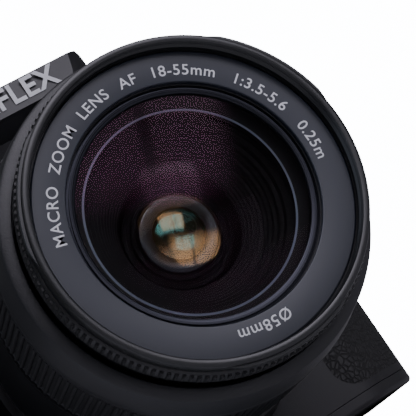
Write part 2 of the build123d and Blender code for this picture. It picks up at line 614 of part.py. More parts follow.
with BuildPart() as focusing_screen:
    with BuildSketch(Plane.XY.offset(BOX_HIGH)):
        with Locations((0, SCREEN_Y)):
            Rectangle(*SCREEN_SIZE)
    extrude(amount=1.4)

PRISM_LOW = BOX_HIGH + 1.4 + GAP
PRISM_HIGH = BAY_FLOOR - WALL - 1.5
PRISM_REAR_Y = HUMP_REAR_Y - 12.0
PRISM_FRONT_Y = SCREEN_Y - 9.0
PRISM_STEP_Y = FRONT_Y + WALL + 2 * GAP
PRISM_LIP = 4.0
with BuildPart() as pentamirror:
    with BuildSketch(Plane.YZ):
        with BuildLine():
            Polyline(
                (PRISM_FRONT_Y, PRISM_LOW), (PRISM_REAR_Y, PRISM_LOW + 7), (PRISM_REAR_Y, EYE_Z + 6),
                (PRISM_REAR_Y - 10, PRISM_HIGH), (PRISM_STEP_Y + 6, PRISM_HIGH),
                (PRISM_STEP_Y, PRISM_HIGH - 8), (PRISM_STEP_Y, PRISM_LOW + PRISM_LIP),
                (PRISM_FRONT_Y, PRISM_LOW + PRISM_LIP), close=True)
        make_face()
    extrude(amount=15, both=True)
    for side in (-1, 1):
        chamfer(pentamirror.edges().filter_by(Axis.Y).group_by(Axis.Z)[-1].sort_by(Axis.X)[0 if side < 0 else -1],
                length=5, length2=8)

with BuildPart() as eyepiece_lens:
    with BuildSketch(Plane.XZ.offset(-(HUMP_REAR_Y - 7.5))):
        with Locations((0, EYE_Z)):
            RectangleRounded(21, 11, 1.5)
    extrude(amount=-4)

EYECUP_DEPTH = 6.0
with BuildPart() as eyecup:
    with BuildSketch(rear_plane(0, EYE_Z, HUMP_REAR_Y)):
        RectangleRounded(34, 21, 5)
    with BuildSketch(rear_plane(0, EYE_Z, HUMP_REAR_Y + EYECUP_DEPTH)):
        RectangleRounded(32, 19, 6)
    loft(ruled=True)
    fillet(eyecup.faces().sort_by(Axis.Y)[-1].edges(), 1.0)
    with BuildSketch(rear_plane(0, EYE_Z, HUMP_REAR_Y)):
        RectangleRounded(21.6, 11.6, 1.5)
    with BuildSketch(rear_plane(0, EYE_Z, HUMP_REAR_Y + EYECUP_DEPTH)):
        RectangleRounded(25, 13.6, 3)
    loft(ruled=True, mode=Mode.SUBTRACT)

SHUTTER_HALF_X = 19.0
SHUTTER_LOW = SOCKET_RADIUS + 5.0
SHUTTER_FRONT_Y = SENSOR_Y - 10.0
SHUTTER_BACK_Y = SENSOR_Y - 5.0
CURTAIN_Y = (SHUTTER_FRONT_Y + SHUTTER_BACK_Y) / 2
CURTAIN_HALF = 9.5
CURTAIN_TRAVEL = 17.5
FRAME_OPENING = (24.0, 16.6)
with BuildPart() as shutter_frame:
    with BuildSketch(Plane.XZ.offset(-SHUTTER_BACK_Y)):
        with Locations((0, (SHUTTER_LOW + BOX_HIGH) / 2)):
            Rectangle(2 * SHUTTER_HALF_X, BOX_HIGH - SHUTTER_LOW)
        with Locations((0, AXIS_HEIGHT)):
            Rectangle(*FRAME_OPENING, mode=Mode.SUBTRACT)
    extrude(amount=SHUTTER_BACK_Y - SHUTTER_FRONT_Y)
    slot_low = AXIS_HEIGHT - CURTAIN_HALF - CURTAIN_TRAVEL - 1
    slot_high = AXIS_HEIGHT + CURTAIN_HALF + 0.5
    with Locations((0, CURTAIN_Y, (slot_low + slot_high) / 2)):
        Box(27.6, 1.4, slot_high - slot_low, mode=Mode.SUBTRACT)

with BuildPart() as shutter_curtain:
    with Locations((0, CURTAIN_Y, AXIS_HEIGHT)):
        Box(27.0, 0.7, 2 * CURTAIN_HALF)

with BuildPart() as image_sensor:
    with BuildSketch(Plane.XZ.offset(-(SENSOR_Y + 3))):
        with Locations((0, AXIS_HEIGHT)):
            Rectangle(36, 29)
    extrude(amount=3)
    with BuildSketch(Plane.XZ.offset(-SENSOR_Y)):
        with Locations((0, AXIS_HEIGHT)):
            RectangleRounded(26, 19, 0.8)
    extrude(amount=2)

BOARD_Y = SENSOR_Y + 5.0
with BuildPart() as main_board:
    with BuildSketch(Plane.XZ.offset(-(BOARD_Y + 1.6))):
        with Locations(((BODY_RIGHT - 16 - 30) / 2, (PORT_LOW + TOP_SPLIT) / 2)):
            RectangleRounded(BODY_RIGHT - 16 + 30, TOP_SPLIT - PORT_LOW - 6, 2)
    extrude(amount=1.6)
    for x, z, wide, tall in ((-10, AXIS_HEIGHT, 14, 14), (14, AXIS_HEIGHT + 4, 10, 10), (30, AXIS_HEIGHT - 8, 12, 8)):
        with BuildSketch(Plane.XZ.offset(-(BOARD_Y + 2.8))):
            with Locations((x, z)):
                Rectangle(wide, tall)
        extrude(amount=1.2)

with BuildPart() as lcd_window:
    with BuildSketch(rear_plane(LCD_X, LCD_Z)):
        RectangleRounded(LCD_WIDTH - 2 * RUN, LCD_HEIGHT - 2 * RUN, 2.5)
    extrude(amount=-1.2)

with BuildPart() as lcd_panel:
    with BuildSketch(rear_plane(LCD_X, LCD_Z, REAR_Y - 1.2)):
        Rectangle(LCD_WIDTH - 2 * LCD_EDGE - 2 * GAP, LCD_HEIGHT - 2 * LCD_EDGE - 2 * GAP)
    extrude(amount=-3)

with BuildPart() as tripod_socket:
    Cylinder(SOCKET_RADIUS, 2.0, align=(Align.CENTER, Align.CENTER, Align.MIN))
    Cylinder(SOCKET_RADIUS - 2, TRIPOD_DEPTH + 2, align=(Align.CENTER, Align.CENTER, Align.MIN))
    Cylinder(TRIPOD_RADIUS, TRIPOD_DEPTH, align=(Align.CENTER, Align.CENTER, Align.MIN), mode=Mode.SUBTRACT)

with BuildPart() as battery:
    with BuildSketch(Plane.XY.offset(WALL + 1.0)):
        with Locations((BATTERY_X, BATTERY_Y)):
            RectangleRounded(BATTERY[0], BATTERY[1], 2)
    extrude(amount=BATTERY[2])

CARD_X = BATTERY_X + BATTERY[0] / 2 + 3.0
with BuildPart() as memory_card:
    with BuildSketch(Plane.YZ.offset(CARD_X)):
        with Locations((BATTERY_Y + 4, WALL + 3 + 16)):
            Rectangle(24, 32)
    extrude(amount=2.1)
    chamfer(memory_card.edges().filter_by(Axis.X).sort_by(Axis.Z)[-1], 4)

with BuildPart() as connector_ports:
    with BuildSketch(Plane.YZ.offset(BODY_RIGHT - 15)):
        with Locations(((PORT_FRONT_Y + PORT_REAR_Y) / 2 - 0.5, (PORT_LOW + PORT_HIGH) / 2)):
            Rectangle(PORT_REAR_Y - PORT_FRONT_Y - 2, PORT_HIGH - PORT_LOW - 2)
    extrude(amount=7)
    with BuildSketch(Plane.YZ.offset(BODY_RIGHT - 8)):
        with Locations((PORT_FRONT_Y + 4.5, PORT_LOW + 6), (PORT_FRONT_Y + 4.5, PORT_HIGH - 6)):
            Circle(1.8)
        with Locations((PORT_FRONT_Y + 4.5, (PORT_LOW + PORT_HIGH) / 2 - 6)):
            Rectangle(3.2, 10.6)
        with Locations((PORT_FRONT_Y + 4.5, (PORT_LOW + PORT_HIGH) / 2 + 7)):
            Rectangle(3.0, 7.6)
    extrude(amount=-5, mode=Mode.SUBTRACT)

with BuildPart() as hot_shoe:
    SHOE_REAR_Y = HUMP_REAR_Y - 7.0
    with BuildSketch(Plane.XZ.offset(-SHOE_REAR_Y)):
        with Locations((0, SHOE_Z + 1.6)):
            Rectangle(SHOE_SLOT_WIDTH + 2.6, 3.2)
            Rectangle(SHOE_SLOT_WIDTH, 1.6, mode=Mode.SUBTRACT)
        with Locations((0, SHOE_Z + 3.2)):
            Rectangle(12.6, 3.2, mode=Mode.SUBTRACT)
    extrude(amount=SHOE_LENGTH)

with BuildPart() as base_screws:
    for x, y in base_screw_places():
        add(screw(Plane(origin=(x, y, 0.2), x_dir=(1, 0, 0), z_dir=(0, 0, -1)), 0.95, 2.2, 0.9, SCREW_REACH))

with BuildPart() as mount_ring:
    with BuildSketch(LENS):
        with BuildLine():
            Polyline(
                (MOUNT_THROAT, -MOUNT_RING_THICKNESS), (MOUNT_RING_RADIUS, -MOUNT_RING_THICKNESS),
                (MOUNT_RING_RADIUS, -0.4), (MOUNT_RING_RADIUS - 0.4, 0), (MOUNT_THROAT, 0), close=True)
        make_face()
    revolve(axis=OPTICAL)
    add(bore_through(lock_plane, LOCK_PIN_RADIUS + GAP, 6), mode=Mode.SUBTRACT)
    for corner in range(4):
        spoke = math.radians(45 + 90 * corner)
        with BuildSketch(Plane(origin=(0, FLANGE_Y, AXIS_HEIGHT), x_dir=(1, 0, 0), z_dir=(0, -1, 0))):
            with Locations((LOCK_PIN_CIRCLE * math.cos(spoke), LOCK_PIN_CIRCLE * math.sin(spoke))):
                Circle(1.0)
        extrude(amount=-6, mode=Mode.SUBTRACT)
        with BuildSketch(Plane(origin=(0, FLANGE_Y, AXIS_HEIGHT), x_dir=(1, 0, 0), z_dir=(0, -1, 0))):
            with Locations((LOCK_PIN_CIRCLE * math.cos(spoke), LOCK_PIN_CIRCLE * math.sin(spoke))):
                Circle(1.8 + RUN)
        extrude(amount=-0.9, mode=Mode.SUBTRACT)

with BuildPart() as mount_screws:
    for corner in range(4):
        spoke = math.radians(45 + 90 * corner)
        place = Plane(
            origin=(LOCK_PIN_CIRCLE * math.cos(spoke), FLANGE_Y, AXIS_HEIGHT + LOCK_PIN_CIRCLE * math.sin(spoke)),
            x_dir=(1, 0, 0), z_dir=(0, -1, 0))
        add(screw(place, 0.85, 1.8, 0.85, 6.0))

# ---------------------------------------------------------------- mirrors
root_half = math.sqrt(0.5)
mirror_along = (0, -root_half, -root_half)
mirror_back = (0, root_half, -root_half)
mirror_plane = Plane(origin=(0, MIRROR_PIVOT_Y, MIRROR_PIVOT_Z), x_dir=(1, 0, 0), z_dir=mirror_along)
SUB_OFFSET = 1.7
SUB_ALONG = 15.0
SUB_LENGTH = 10.5
SUB_HALF_WIDTH = 7.0
sub_y = MIRROR_PIVOT_Y + SUB_ALONG * mirror_along[1] + SUB_OFFSET * mirror_back[1]
sub_z = MIRROR_PIVOT_Z + SUB_ALONG * mirror_along[2] + SUB_OFFSET * mirror_back[2]
with BuildPart() as main_mirror:
    with BuildSketch(mirror_plane):
        Rectangle(2 * MIRROR_HALF_WIDTH, MIRROR_THICKNESS)
    extrude(amount=MIRROR_LENGTH)
    with Locations(Plane(origin=(0, MIRROR_PIVOT_Y, MIRROR_PIVOT_Z), z_dir=(1, 0, 0))):
        Cylinder(0.8, 2 * BOX_HALF_X - 0.4)
    for side in (-1, 1):
        with BuildSketch(Plane(origin=(side * (SUB_HALF_WIDTH + 1.4), sub_y, sub_z), x_dir=(0, 1, 0),
                               z_dir=(side, 0, 0))):
            Circle(1.5)
        extrude(amount=1.5)
with BuildPart() as sub_mirror:
    with BuildSketch(Plane(origin=(0, sub_y, sub_z), x_dir=(1, 0, 0), z_dir=mirror_back)):
        Rectangle(2 * SUB_HALF_WIDTH, 0.8)
    extrude(amount=SUB_LENGTH)
    with Locations(Plane(origin=(0, sub_y, sub_z), z_dir=(1, 0, 0))):
        Cylinder(0.6, 2 * SUB_HALF_WIDTH + 2.0)

# ---------------------------------------------------------------- controls
with BuildPart() as shutter_button:
    add(button(shutter_plane, SHUTTER_BUTTON_RADIUS, reach=0.6))

with BuildPart() as main_dial:
    with BuildSketch(Plane(origin=(DIAL_X - MAIN_DIAL_WIDTH / 2, MAIN_DIAL_Y, MAIN_DIAL_Z), z_dir=(1, 0, 0))):
        Circle(MAIN_DIAL_RADIUS)
        with PolarLocations(MAIN_DIAL_RADIUS, 30):
            Circle(0.35, mode=Mode.SUBTRACT)
    extrude(amount=MAIN_DIAL_WIDTH)
    with Locations(Plane(origin=(DIAL_X, MAIN_DIAL_Y, MAIN_DIAL_Z), z_dir=(1, 0, 0))):
        Cylinder(AXLE_RADIUS, 2 * AXLE_X - 0.4)

with BuildPart() as mode_dial:
    with BuildSketch(top_plane(MODE_X, MODE_Y, SHOULDER_HEIGHT + GAP)):
        Circle(MODE_DIAL_RADIUS)
        with PolarLocations(MODE_DIAL_RADIUS, 48):
            Circle(0.3, mode=Mode.SUBTRACT)
    extrude(amount=MODE_DIAL_HEIGHT)
    with BuildSketch(top_plane(MODE_X, MODE_Y, SHOULDER_HEIGHT + GAP + MODE_DIAL_HEIGHT)):
        Circle(MODE_DIAL_RADIUS - 0.6)
    extrude(amount=0.5, taper=30)
    with BuildSketch(top_plane(MODE_X, MODE_Y, SHOULDER_HEIGHT + GAP)):
        Circle(MODE_SHAFT)
    extrude(amount=-(GAP + WALL + GAP))
    with BuildSketch(top_plane(MODE_X, MODE_Y, SHOULDER_HEIGHT - WALL - GAP)):
        Circle(MODE_SHAFT + 1)
    extrude(amount=-1)

with BuildPart() as power_switch:
    with BuildSketch(top_plane(POWER_X, POWER_Y, SHOULDER_HEIGHT + GAP)):
        Circle(POWER_RADIUS)
        with Locations((0, POWER_RADIUS - 0.5)):
            SlotOverall(6.5, 2.6, rotation=90)
    extrude(amount=1.6)
    with BuildSketch(top_plane(POWER_X, POWER_Y, SHOULDER_HEIGHT + GAP)):
        Circle(POWER_SHAFT)
    extrude(amount=-(GAP + WALL + GAP))
    with BuildSketch(top_plane(POWER_X, POWER_Y, SHOULDER_HEIGHT - WALL - GAP)):
        Circle(POWER_SHAFT + 1)
    extrude(amount=-1)

with BuildPart() as flash_button:
    add(button(flash_button_plane, FLANK_BUTTON_RADIUS, reach=0.6))

with BuildPart() as diopter_dial:
    with BuildSketch(diopter_plane.offset(GAP)):
        Circle(2.6)
        with PolarLocations(2.6, 16):
            Circle(0.2, mode=Mode.SUBTRACT)
    extrude(amount=1.8)
    with BuildSketch(diopter_plane.offset(GAP)):
        Circle(MODE_SHAFT / 2)
    extrude(amount=-(GAP + WALL + GAP))
    with BuildSketch(diopter_plane.offset(-WALL - GAP)):
        Circle(MODE_SHAFT / 2 + 1)
    extrude(amount=-1)

with BuildPart() as menu_button:
    add(button(rear_plane(MENU_X, MENU_Z), SMALL_BUTTON_RADIUS, reach=0.6))
with BuildPart() as playback_button:
    add(button(rear_plane(PLAY_X, LOW_ROW_Z), SMALL_BUTTON_RADIUS, reach=0.6))
with BuildPart() as delete_button:
    add(button(rear_plane(DELETE_X, LOW_ROW_Z), SMALL_BUTTON_RADIUS, reach=0.6))
with BuildPart() as set_button:
    add(button(rear_plane(PAD_X, PAD_Z), SET_RADIUS, reach=2.9))
with BuildPart() as cross_pad:
    add(button(rear_plane(PAD_X, PAD_Z), PAD_RADIUS, reach=1.0, bore=SET_RADIUS + 0.5))

with BuildPart() as flash_head:
    add(hump_form)
    add(flash_bay(0), mode=Mode.INTERSECT)
    with BuildSketch(Plane.XY.offset(BAY_FLOOR)):
        with Locations((0, GRIP_Y + 11)):
            Rectangle(30, 11)
    extrude(amount=GAP + 3.5, mode=Mode.SUBTRACT)

with BuildPart() as flash_window:
    with BuildSketch(Plane.XY.offset(BAY_FLOOR + GAP)):
        with Locations((0, GRIP_Y + 11)):
            Rectangle(30 - 2 * RUN, 11 - 2 * RUN)
    extrude(amount=3.4)

with BuildPart() as lens_release_button:
    with BuildSketch(release_plane.offset(-12)):
        Circle(RELEASE_BUTTON_RADIUS)
    extrude(amount=12 + 2.2)
    fillet(lens_release_button.faces().sort_by(Axis.Y)[0].edges(), 0.8)

with BuildPart() as lens_lock_pin:
    with BuildSketch(lock_plane):
        Circle(LOCK_PIN_RADIUS)
    extrude(amount=-18)

with BuildPart() as battery_door:
    with BuildSketch(Plane.XY):
        with Locations((DOOR_X, (DOOR_FRONT_Y + DOOR_REAR_Y - DOOR_HALF) / 2)):
            Rectangle(DOOR_WIDTH, DOOR_REAR_Y - DOOR_FRONT_Y - DOOR_HALF)
    extrude(amount=WALL)
    with BuildSketch(Plane.YZ.offset(DOOR_X - DOOR_WIDTH / 2)):
        with Locations((DOOR_REAR_Y - DOOR_HALF, DOOR_HALF)):
            Circle(DOOR_HALF)
    extrude(amount=DOOR_WIDTH)

with BuildPart() as port_core:
    add(body_block(PORT_THICKNESS))
with BuildPart() as port_cover:
    add(port_room(0))
    add(outer_form, mode=Mode.INTERSECT)
    add(port_core.part, mode=Mode.SUBTRACT)

# ---------------------------------------------------------------- lens
with BuildPart() as lens_bayonet:
    with BuildSketch(LENS):
        with BuildLine():
            Polyline(
                (BAYONET_BORE, -BAYONET_TUBE_DEPTH), (BAYONET_TUBE_RADIUS, -BAYONET_TUBE_DEPTH),
                (BAYONET_TUBE_RADIUS, 0),
                (BAYONET_RADIUS, 0), (BAYONET_RADIUS, 2), (BAYONET_BORE, 2), close=True)
        make_face()
    revolve(axis=OPTICAL)
    tab_radius = MOUNT_THROAT - 0.2
    for tab in range(3):
        start = math.radians(60 + 120 * tab)
        with BuildSketch(Plane(origin=(0, FLANGE_Y + 3, AXIS_HEIGHT), x_dir=(1, 0, 0), z_dir=(0, 1, 0))):
            with BuildLine():
                for radius in (BAYONET_TUBE_RADIUS - 0.5, tab_radius):
                    CenterArc((0, 0), radius, math.degrees(start), 55)
                for angle in (start, start + math.radians(55)):
                    inner, outer = BAYONET_TUBE_RADIUS - 0.5, tab_radius
                    Line((inner * math.cos(angle), inner * math.sin(angle)),
                         (outer * math.cos(angle), outer * math.sin(angle)))
            make_face()
        extrude(amount=2)
    add(bore_through(lock_plane, LOCK_PIN_RADIUS + GAP, 3, above=3), mode=Mode.SUBTRACT)

SWITCH_ANGLES = (-12.0, 12.0)
SWITCH_LENGTH = 5.0
SWITCH_WIDTH = 3.2
SWITCH_TRAVEL = 3.0
SWITCH_MIDDLE = 16.0      # along the lens from the mount face


def switch_plane(turn, radius):
    """A plane square to the lens radius at an angle up from +X, its x pointing forward."""
    angle = math.radians(turn)
    outward = (math.cos(angle), 0, math.sin(angle))
    origin = (radius * outward[0], FLANGE_Y - SWITCH_MIDDLE, AXIS_HEIGHT + radius * outward[2])
    return Plane(origin=origin, x_dir=(0, -1, 0), z_dir=outward)


with BuildPart() as rear_barrel:
    with BuildSketch(LENS):
        with BuildLine():
            Polyline(
                (12.1, 4), (BAYONET_BORE, 4), (BAYONET_BORE, 2), (REAR_BARREL_RADIUS - 1, 2),
                (REAR_BARREL_RADIUS, 8), (REAR_BARREL_RADIUS, REAR_BARREL_LENGTH),
                (SLEEVE_OUT, REAR_BARREL_LENGTH), (SLEEVE_OUT, LENS_LENGTH - 14), (SLEEVE_IN, LENS_LENGTH - 14),
                (SLEEVE_IN, 6), (14, 6), (14, 10), (12.1, 10), close=True)
        make_face()
    revolve(axis=OPTICAL)
    for turn in SWITCH_ANGLES:
        with BuildSketch(switch_plane(turn, REAR_BARREL_RADIUS + 1)):
            SlotOverall(SWITCH_LENGTH + SWITCH_TRAVEL + 2 * GAP, SWITCH_WIDTH + 2 * GAP)
        extrude(amount=-2.6, mode=Mode.SUBTRACT)

switches = []
for turn in SWITCH_ANGLES:
    with BuildPart() as switch:
        with BuildSketch(switch_plane(turn, REAR_BARREL_RADIUS - 1.3)):
            with Locations((-SWITCH_TRAVEL / 2, 0)):
                SlotOverall(SWITCH_LENGTH, SWITCH_WIDTH)
        extrude(amount=2.4)
        fillet(switch.faces().sort_by(Axis(LENS.origin, switch_plane(turn, 1).z_dir))[-1].edges(), 0.3)
    switches.append(switch)
focus_mode_switch, stabilizer_switch = switches

ZOOM_FRONT = LENS_LENGTH - ZOOM_FACE_SET_BACK
with BuildPart() as zoom_ring:
    with BuildSketch(LENS):
        with BuildLine():
            Polyline(
                (ZOOM_IN, REAR_BARREL_LENGTH + GAP), (ZOOM_GRIP_RADIUS + 0.2, REAR_BARREL_LENGTH + GAP),
                (ZOOM_GRIP_RADIUS + 0.2, REAR_BARREL_LENGTH + 1.3), (ZOOM_GRIP_RADIUS, REAR_BARREL_LENGTH + 1.5),
                (ZOOM_GRIP_RADIUS, ZOOM_FRONT - 9.6), (ZOOM_GRIP_RADIUS + 0.7, ZOOM_FRONT - 9.4),
                (ZOOM_GRIP_RADIUS + 0.7, ZOOM_FRONT - 7.1), (ZOOM_GRIP_RADIUS - 0.2, ZOOM_FRONT - 0.3),
                (ZOOM_GRIP_RADIUS - 0.5, ZOOM_FRONT), (BARREL_OUT + 0.7, ZOOM_FRONT),
                (BARREL_OUT + 0.7, ZOOM_FRONT - 3), (ZOOM_IN, ZOOM_FRONT - 3), close=True)
        make_face()
    revolve(axis=OPTICAL)

INNER_FRONT = LENS_LENGTH - 7.2
with BuildPart() as inner_barrel:
    with BuildSketch(LENS):
        with BuildLine():
            Polyline(
                (BARREL_IN, 24), (BARREL_OUT, 24), (BARREL_OUT, INNER_FRONT), (BARREL_IN, INNER_FRONT), close=True)
        make_face()
    revolve(axis=OPTICAL)

with BuildPart() as focus_guide:
    with BuildSketch(LENS):
        with BuildLine():
            Polyline(
                (GUIDE_IN, INNER_FRONT - 14), (GUIDE_OUT, INNER_FRONT - 14), (GUIDE_OUT, INNER_FRONT - 0.6),
                (GUIDE_IN, INNER_FRONT - 0.6), close=True)
        make_face()
    revolve(axis=OPTICAL)

RING_REAR = LENS_LENGTH - FILTER_DEPTH - FOCUS_RING_LENGTH
NAME_FACE = LENS_LENGTH - 3.0
NAME_OUT = FILTER_RADIUS - 0.3
NAME_IN = NAME_OUT - NAME_RING_WIDTH
GLASS_RADIUS = NAME_IN - 0.9
RIM_OUT = FILTER_RADIUS + FILTER_WALL


def sag(curve, radius):
    """How far a ball of this curve falls away at a radius from its top."""
    return curve - math.sqrt(curve ** 2 - radius ** 2)


FRONT_GLASS_CURVE = 142.6
REAR_GLASS_CURVE = 40.0
APEX = LENS_LENGTH - FILTER_DEPTH - 0.1
CENTRE_THICKNESS = 2.2
GLASS_STEP = 3.0          # flat seat round the rear of the front glass
clear_radius = GLASS_RADIUS - GLASS_STEP
front_edge = APEX - sag(FRONT_GLASS_CURVE, GLASS_RADIUS)
GLASS_REAR = APEX - CENTRE_THICKNESS - sag(REAR_GLASS_CURVE, clear_radius)
with BuildPart() as focus_ring:
    with BuildSketch(LENS):
        with BuildLine():
            Polyline(
                (RIM_OUT + 0.9, RING_REAR), (RIM_OUT + 0.3, LENS_LENGTH - FILTER_DEPTH),
                (NAME_OUT, LENS_LENGTH - FILTER_DEPTH), (NAME_OUT, NAME_FACE - 1.2),
                (GLASS_RADIUS + 0.1, NAME_FACE - 1.2), (GLASS_RADIUS + 0.1, GLASS_REAR),
                (GLASS_RADIUS - 2.0, GLASS_REAR), (GLASS_RADIUS - 2.0, GLASS_REAR - 1),
                (CELL_IN, GLASS_REAR - 1), (CELL_IN, INNER_FRONT - 16), (CELL_OUT, INNER_FRONT - 16),
                (CELL_OUT, RING_REAR), close=True)
        make_face()
    revolve(axis=OPTICAL)

THREAD_RELIEF = 0.3       # groove at the foot of the thread
THREAD_START = LENS_LENGTH - FILTER_DEPTH + 0.5
with BuildPart() as filter_ring:
    with BuildSketch(LENS):
        with BuildLine():
            Polyline(
                (FILTER_RADIUS + THREAD_RELIEF, LENS_LENGTH - FILTER_DEPTH), (RIM_OUT, LENS_LENGTH - FILTER_DEPTH),
                (RIM_OUT, LENS_LENGTH - 0.3), (RIM_OUT - 0.3, LENS_LENGTH), (FILTER_RADIUS + 0.3, LENS_LENGTH),
                (FILTER_RADIUS, LENS_LENGTH - 0.3), (FILTER_RADIUS, THREAD_START),
                (FILTER_RADIUS + THREAD_RELIEF, THREAD_START), close=True)
        make_face()
    revolve(axis=OPTICAL)
    for lug in range(3):
        middle = 30 + 120 * lug
        front = Plane(origin=(0, FLANGE_Y - LENS_LENGTH + 0.5, AXIS_HEIGHT), x_dir=(1, 0, 0), z_dir=(0, -1, 0))
        start = math.radians(middle - HOOD_LUG_ARC / 2)
        stop = math.radians(middle + HOOD_LUG_ARC / 2)
        with BuildSketch(front):
            with BuildLine():
                for radius in (RIM_OUT - 0.5, RIM_OUT + HOOD_LUG_PROUD):
                    CenterArc((0, 0), radius, middle - HOOD_LUG_ARC / 2, HOOD_LUG_ARC)
                for angle in (start, stop):
                    Line(((RIM_OUT - 0.5) * math.cos(angle), (RIM_OUT - 0.5) * math.sin(angle)),
                         ((RIM_OUT + HOOD_LUG_PROUD) * math.cos(angle),
                          (RIM_OUT + HOOD_LUG_PROUD) * math.sin(angle)))
            make_face()
        extrude(amount=-1.5)

with BuildPart() as name_ring:
    with BuildSketch(LENS):
        with BuildLine():
            Polyline(
                (NAME_IN, NAME_FACE - 1.2), (NAME_OUT, NAME_FACE - 1.2), (NAME_OUT, NAME_FACE),
                (NAME_IN, NAME_FACE), close=True)
        make_face()
    revolve(axis=OPTICAL)

with BuildPart() as front_element:
    with BuildSketch(LENS):
        with BuildLine():
            Line((0, APEX - CENTRE_THICKNESS), (0, APEX))
            RadiusArc((0, APEX), (GLASS_RADIUS, front_edge), FRONT_GLASS_CURVE)
            Line((GLASS_RADIUS, front_edge), (GLASS_RADIUS, GLASS_REAR))
            Line((GLASS_RADIUS, GLASS_REAR), (clear_radius, GLASS_REAR))
            RadiusArc((clear_radius, GLASS_REAR), (0, APEX - CENTRE_THICKNESS), -REAR_GLASS_CURVE)
        make_face()
    revolve(axis=OPTICAL)

MIDDLE_U = 42.0
with BuildPart() as middle_element:
    with BuildSketch(LENS):
        with BuildLine():
            Line((0, MIDDLE_U), (0, MIDDLE_U + 5.0))
            RadiusArc((0, MIDDLE_U + 5.0), (9.9, MIDDLE_U + 5.0 - sag(28.0, 9.9)), 28.0)
            Line((9.9, MIDDLE_U + 5.0 - sag(28.0, 9.9)), (9.9, MIDDLE_U))
            Line((9.9, MIDDLE_U), (0, MIDDLE_U))
        make_face()
    revolve(axis=OPTICAL)

with BuildPart() as aperture_unit:
    with BuildSketch(LENS):
        with BuildLine():
            Polyline(
                (7.0, MIDDLE_U - 5), (BARREL_IN, MIDDLE_U - 5), (BARREL_IN, MIDDLE_U - 2), (12.0, MIDDLE_U - 2),
                (12.0, MIDDLE_U + 4), (10.0, MIDDLE_U + 4), (10.0, MIDDLE_U - 0.1), (7.0, MIDDLE_U - 0.1), close=True)
        make_face()
    revolve(axis=OPTICAL)

with BuildPart() as rear_element:
    with BuildSketch(LENS):
        with BuildLine():
            Line((0, 4.0), (0, 9.5))
            RadiusArc((0, 9.5), (12.0, 9.5 - sag(36.0, 12.0)), 36.0)
            Line((12.0, 9.5 - sag(36.0, 12.0)), (12.0, 4.0))
            Line((12.0, 4.0), (0, 4.0))
        make_face()
    revolve(axis=OPTICAL)

# ---------------------------------------------------------------- written pieces
PIECES = dict(
    front_casing=front_casing, rear_casing=rear_casing, top_cover=top_cover, bottom_cover=bottom_cover,
    grip_cover=grip_cover, side_panel=side_panel, thumb_rest=thumb_rest, mirror_box=mirror_box,
    focusing_screen=focusing_screen, pentamirror=pentamirror, eyepiece_lens=eyepiece_lens, eyecup=eyecup,
    shutter_frame=shutter_frame, image_sensor=image_sensor, main_board=main_board, battery=battery,
    memory_card=memory_card, mount_ring=mount_ring, mount_screws=mount_screws, base_screws=base_screws,
    hot_shoe=hot_shoe, lcd_window=lcd_window, lcd_panel=lcd_panel, tripod_socket=tripod_socket,
    strap_lugs=strap_lugs, connector_ports=connector_ports, main_mirror=main_mirror, sub_mirror=sub_mirror,
    shutter_curtain=shutter_curtain, shutter_button=shutter_button, main_dial=main_dial, mode_dial=mode_dial,
    power_switch=power_switch, flash_button=flash_button, flash_head=flash_head, flash_window=flash_window,
    lens_release_button=lens_release_button, lens_lock_pin=lens_lock_pin, battery_door=battery_door,
    port_cover=port_cover, diopter_dial=diopter_dial, menu_button=menu_button, playback_button=playback_button,
    delete_button=delete_button, set_button=set_button, cross_pad=cross_pad, lens_bayonet=lens_bayonet,
    rear_barrel=rear_barrel, focus_mode_switch=focus_mode_switch, stabilizer_switch=stabilizer_switch,
    zoom_ring=zoom_ring, inner_barrel=inner_barrel, focus_guide=focus_guide, focus_ring=focus_ring,
    filter_ring=filter_ring, name_ring=name_ring, front_element=front_element, middle_element=middle_element,
    aperture_unit=aperture_unit, rear_element=rear_element)

os.makedirs("parts", exist_ok=True)
for name, piece in PIECES.items():
    piece.part.label = name
    export_step(piece.part, f"parts/{name}.step")
    print(name, len(piece.part.solids()), round(piece.part.volume, 1))
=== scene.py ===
# %% [markdown]
# A digital single-lens reflex camera with its zoom lens, finished in Blender around its CAD frame.
# The CAD model already holds every size and every joint, so this file never moves or resizes it.
# What it adds is what the eye reads first: the turned rings and glass of the lens, the ribs that
# fingers grip, the lettering, and a material for every surface.

# %% Load the frame and keep the size of the CAD model
import math

import bmesh
import bpy
from mathutils import Matrix, Vector


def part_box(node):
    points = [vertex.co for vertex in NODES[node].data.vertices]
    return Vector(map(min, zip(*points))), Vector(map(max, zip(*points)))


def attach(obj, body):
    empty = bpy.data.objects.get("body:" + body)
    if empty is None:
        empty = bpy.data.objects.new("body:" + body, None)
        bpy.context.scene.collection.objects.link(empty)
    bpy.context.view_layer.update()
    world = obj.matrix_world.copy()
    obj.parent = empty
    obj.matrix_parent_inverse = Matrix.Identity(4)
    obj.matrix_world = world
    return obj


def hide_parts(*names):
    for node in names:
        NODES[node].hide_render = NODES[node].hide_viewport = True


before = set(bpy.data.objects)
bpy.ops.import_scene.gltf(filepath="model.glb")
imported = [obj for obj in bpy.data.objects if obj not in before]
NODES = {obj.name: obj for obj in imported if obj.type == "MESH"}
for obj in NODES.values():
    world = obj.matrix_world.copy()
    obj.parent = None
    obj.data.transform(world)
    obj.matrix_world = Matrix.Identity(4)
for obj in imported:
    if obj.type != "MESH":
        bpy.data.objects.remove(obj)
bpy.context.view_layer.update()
MM = 0.001
print("CAD nodes:", len(NODES))

# %% [markdown]
# Everything on the lens is turned round one axis. Its place is read from the frame, so the pieces made
# here sit on the same axis as the CAD barrel. Distances along the lens are counted from the mount face
# towards the front rim, which is how a lens drawing gives them.

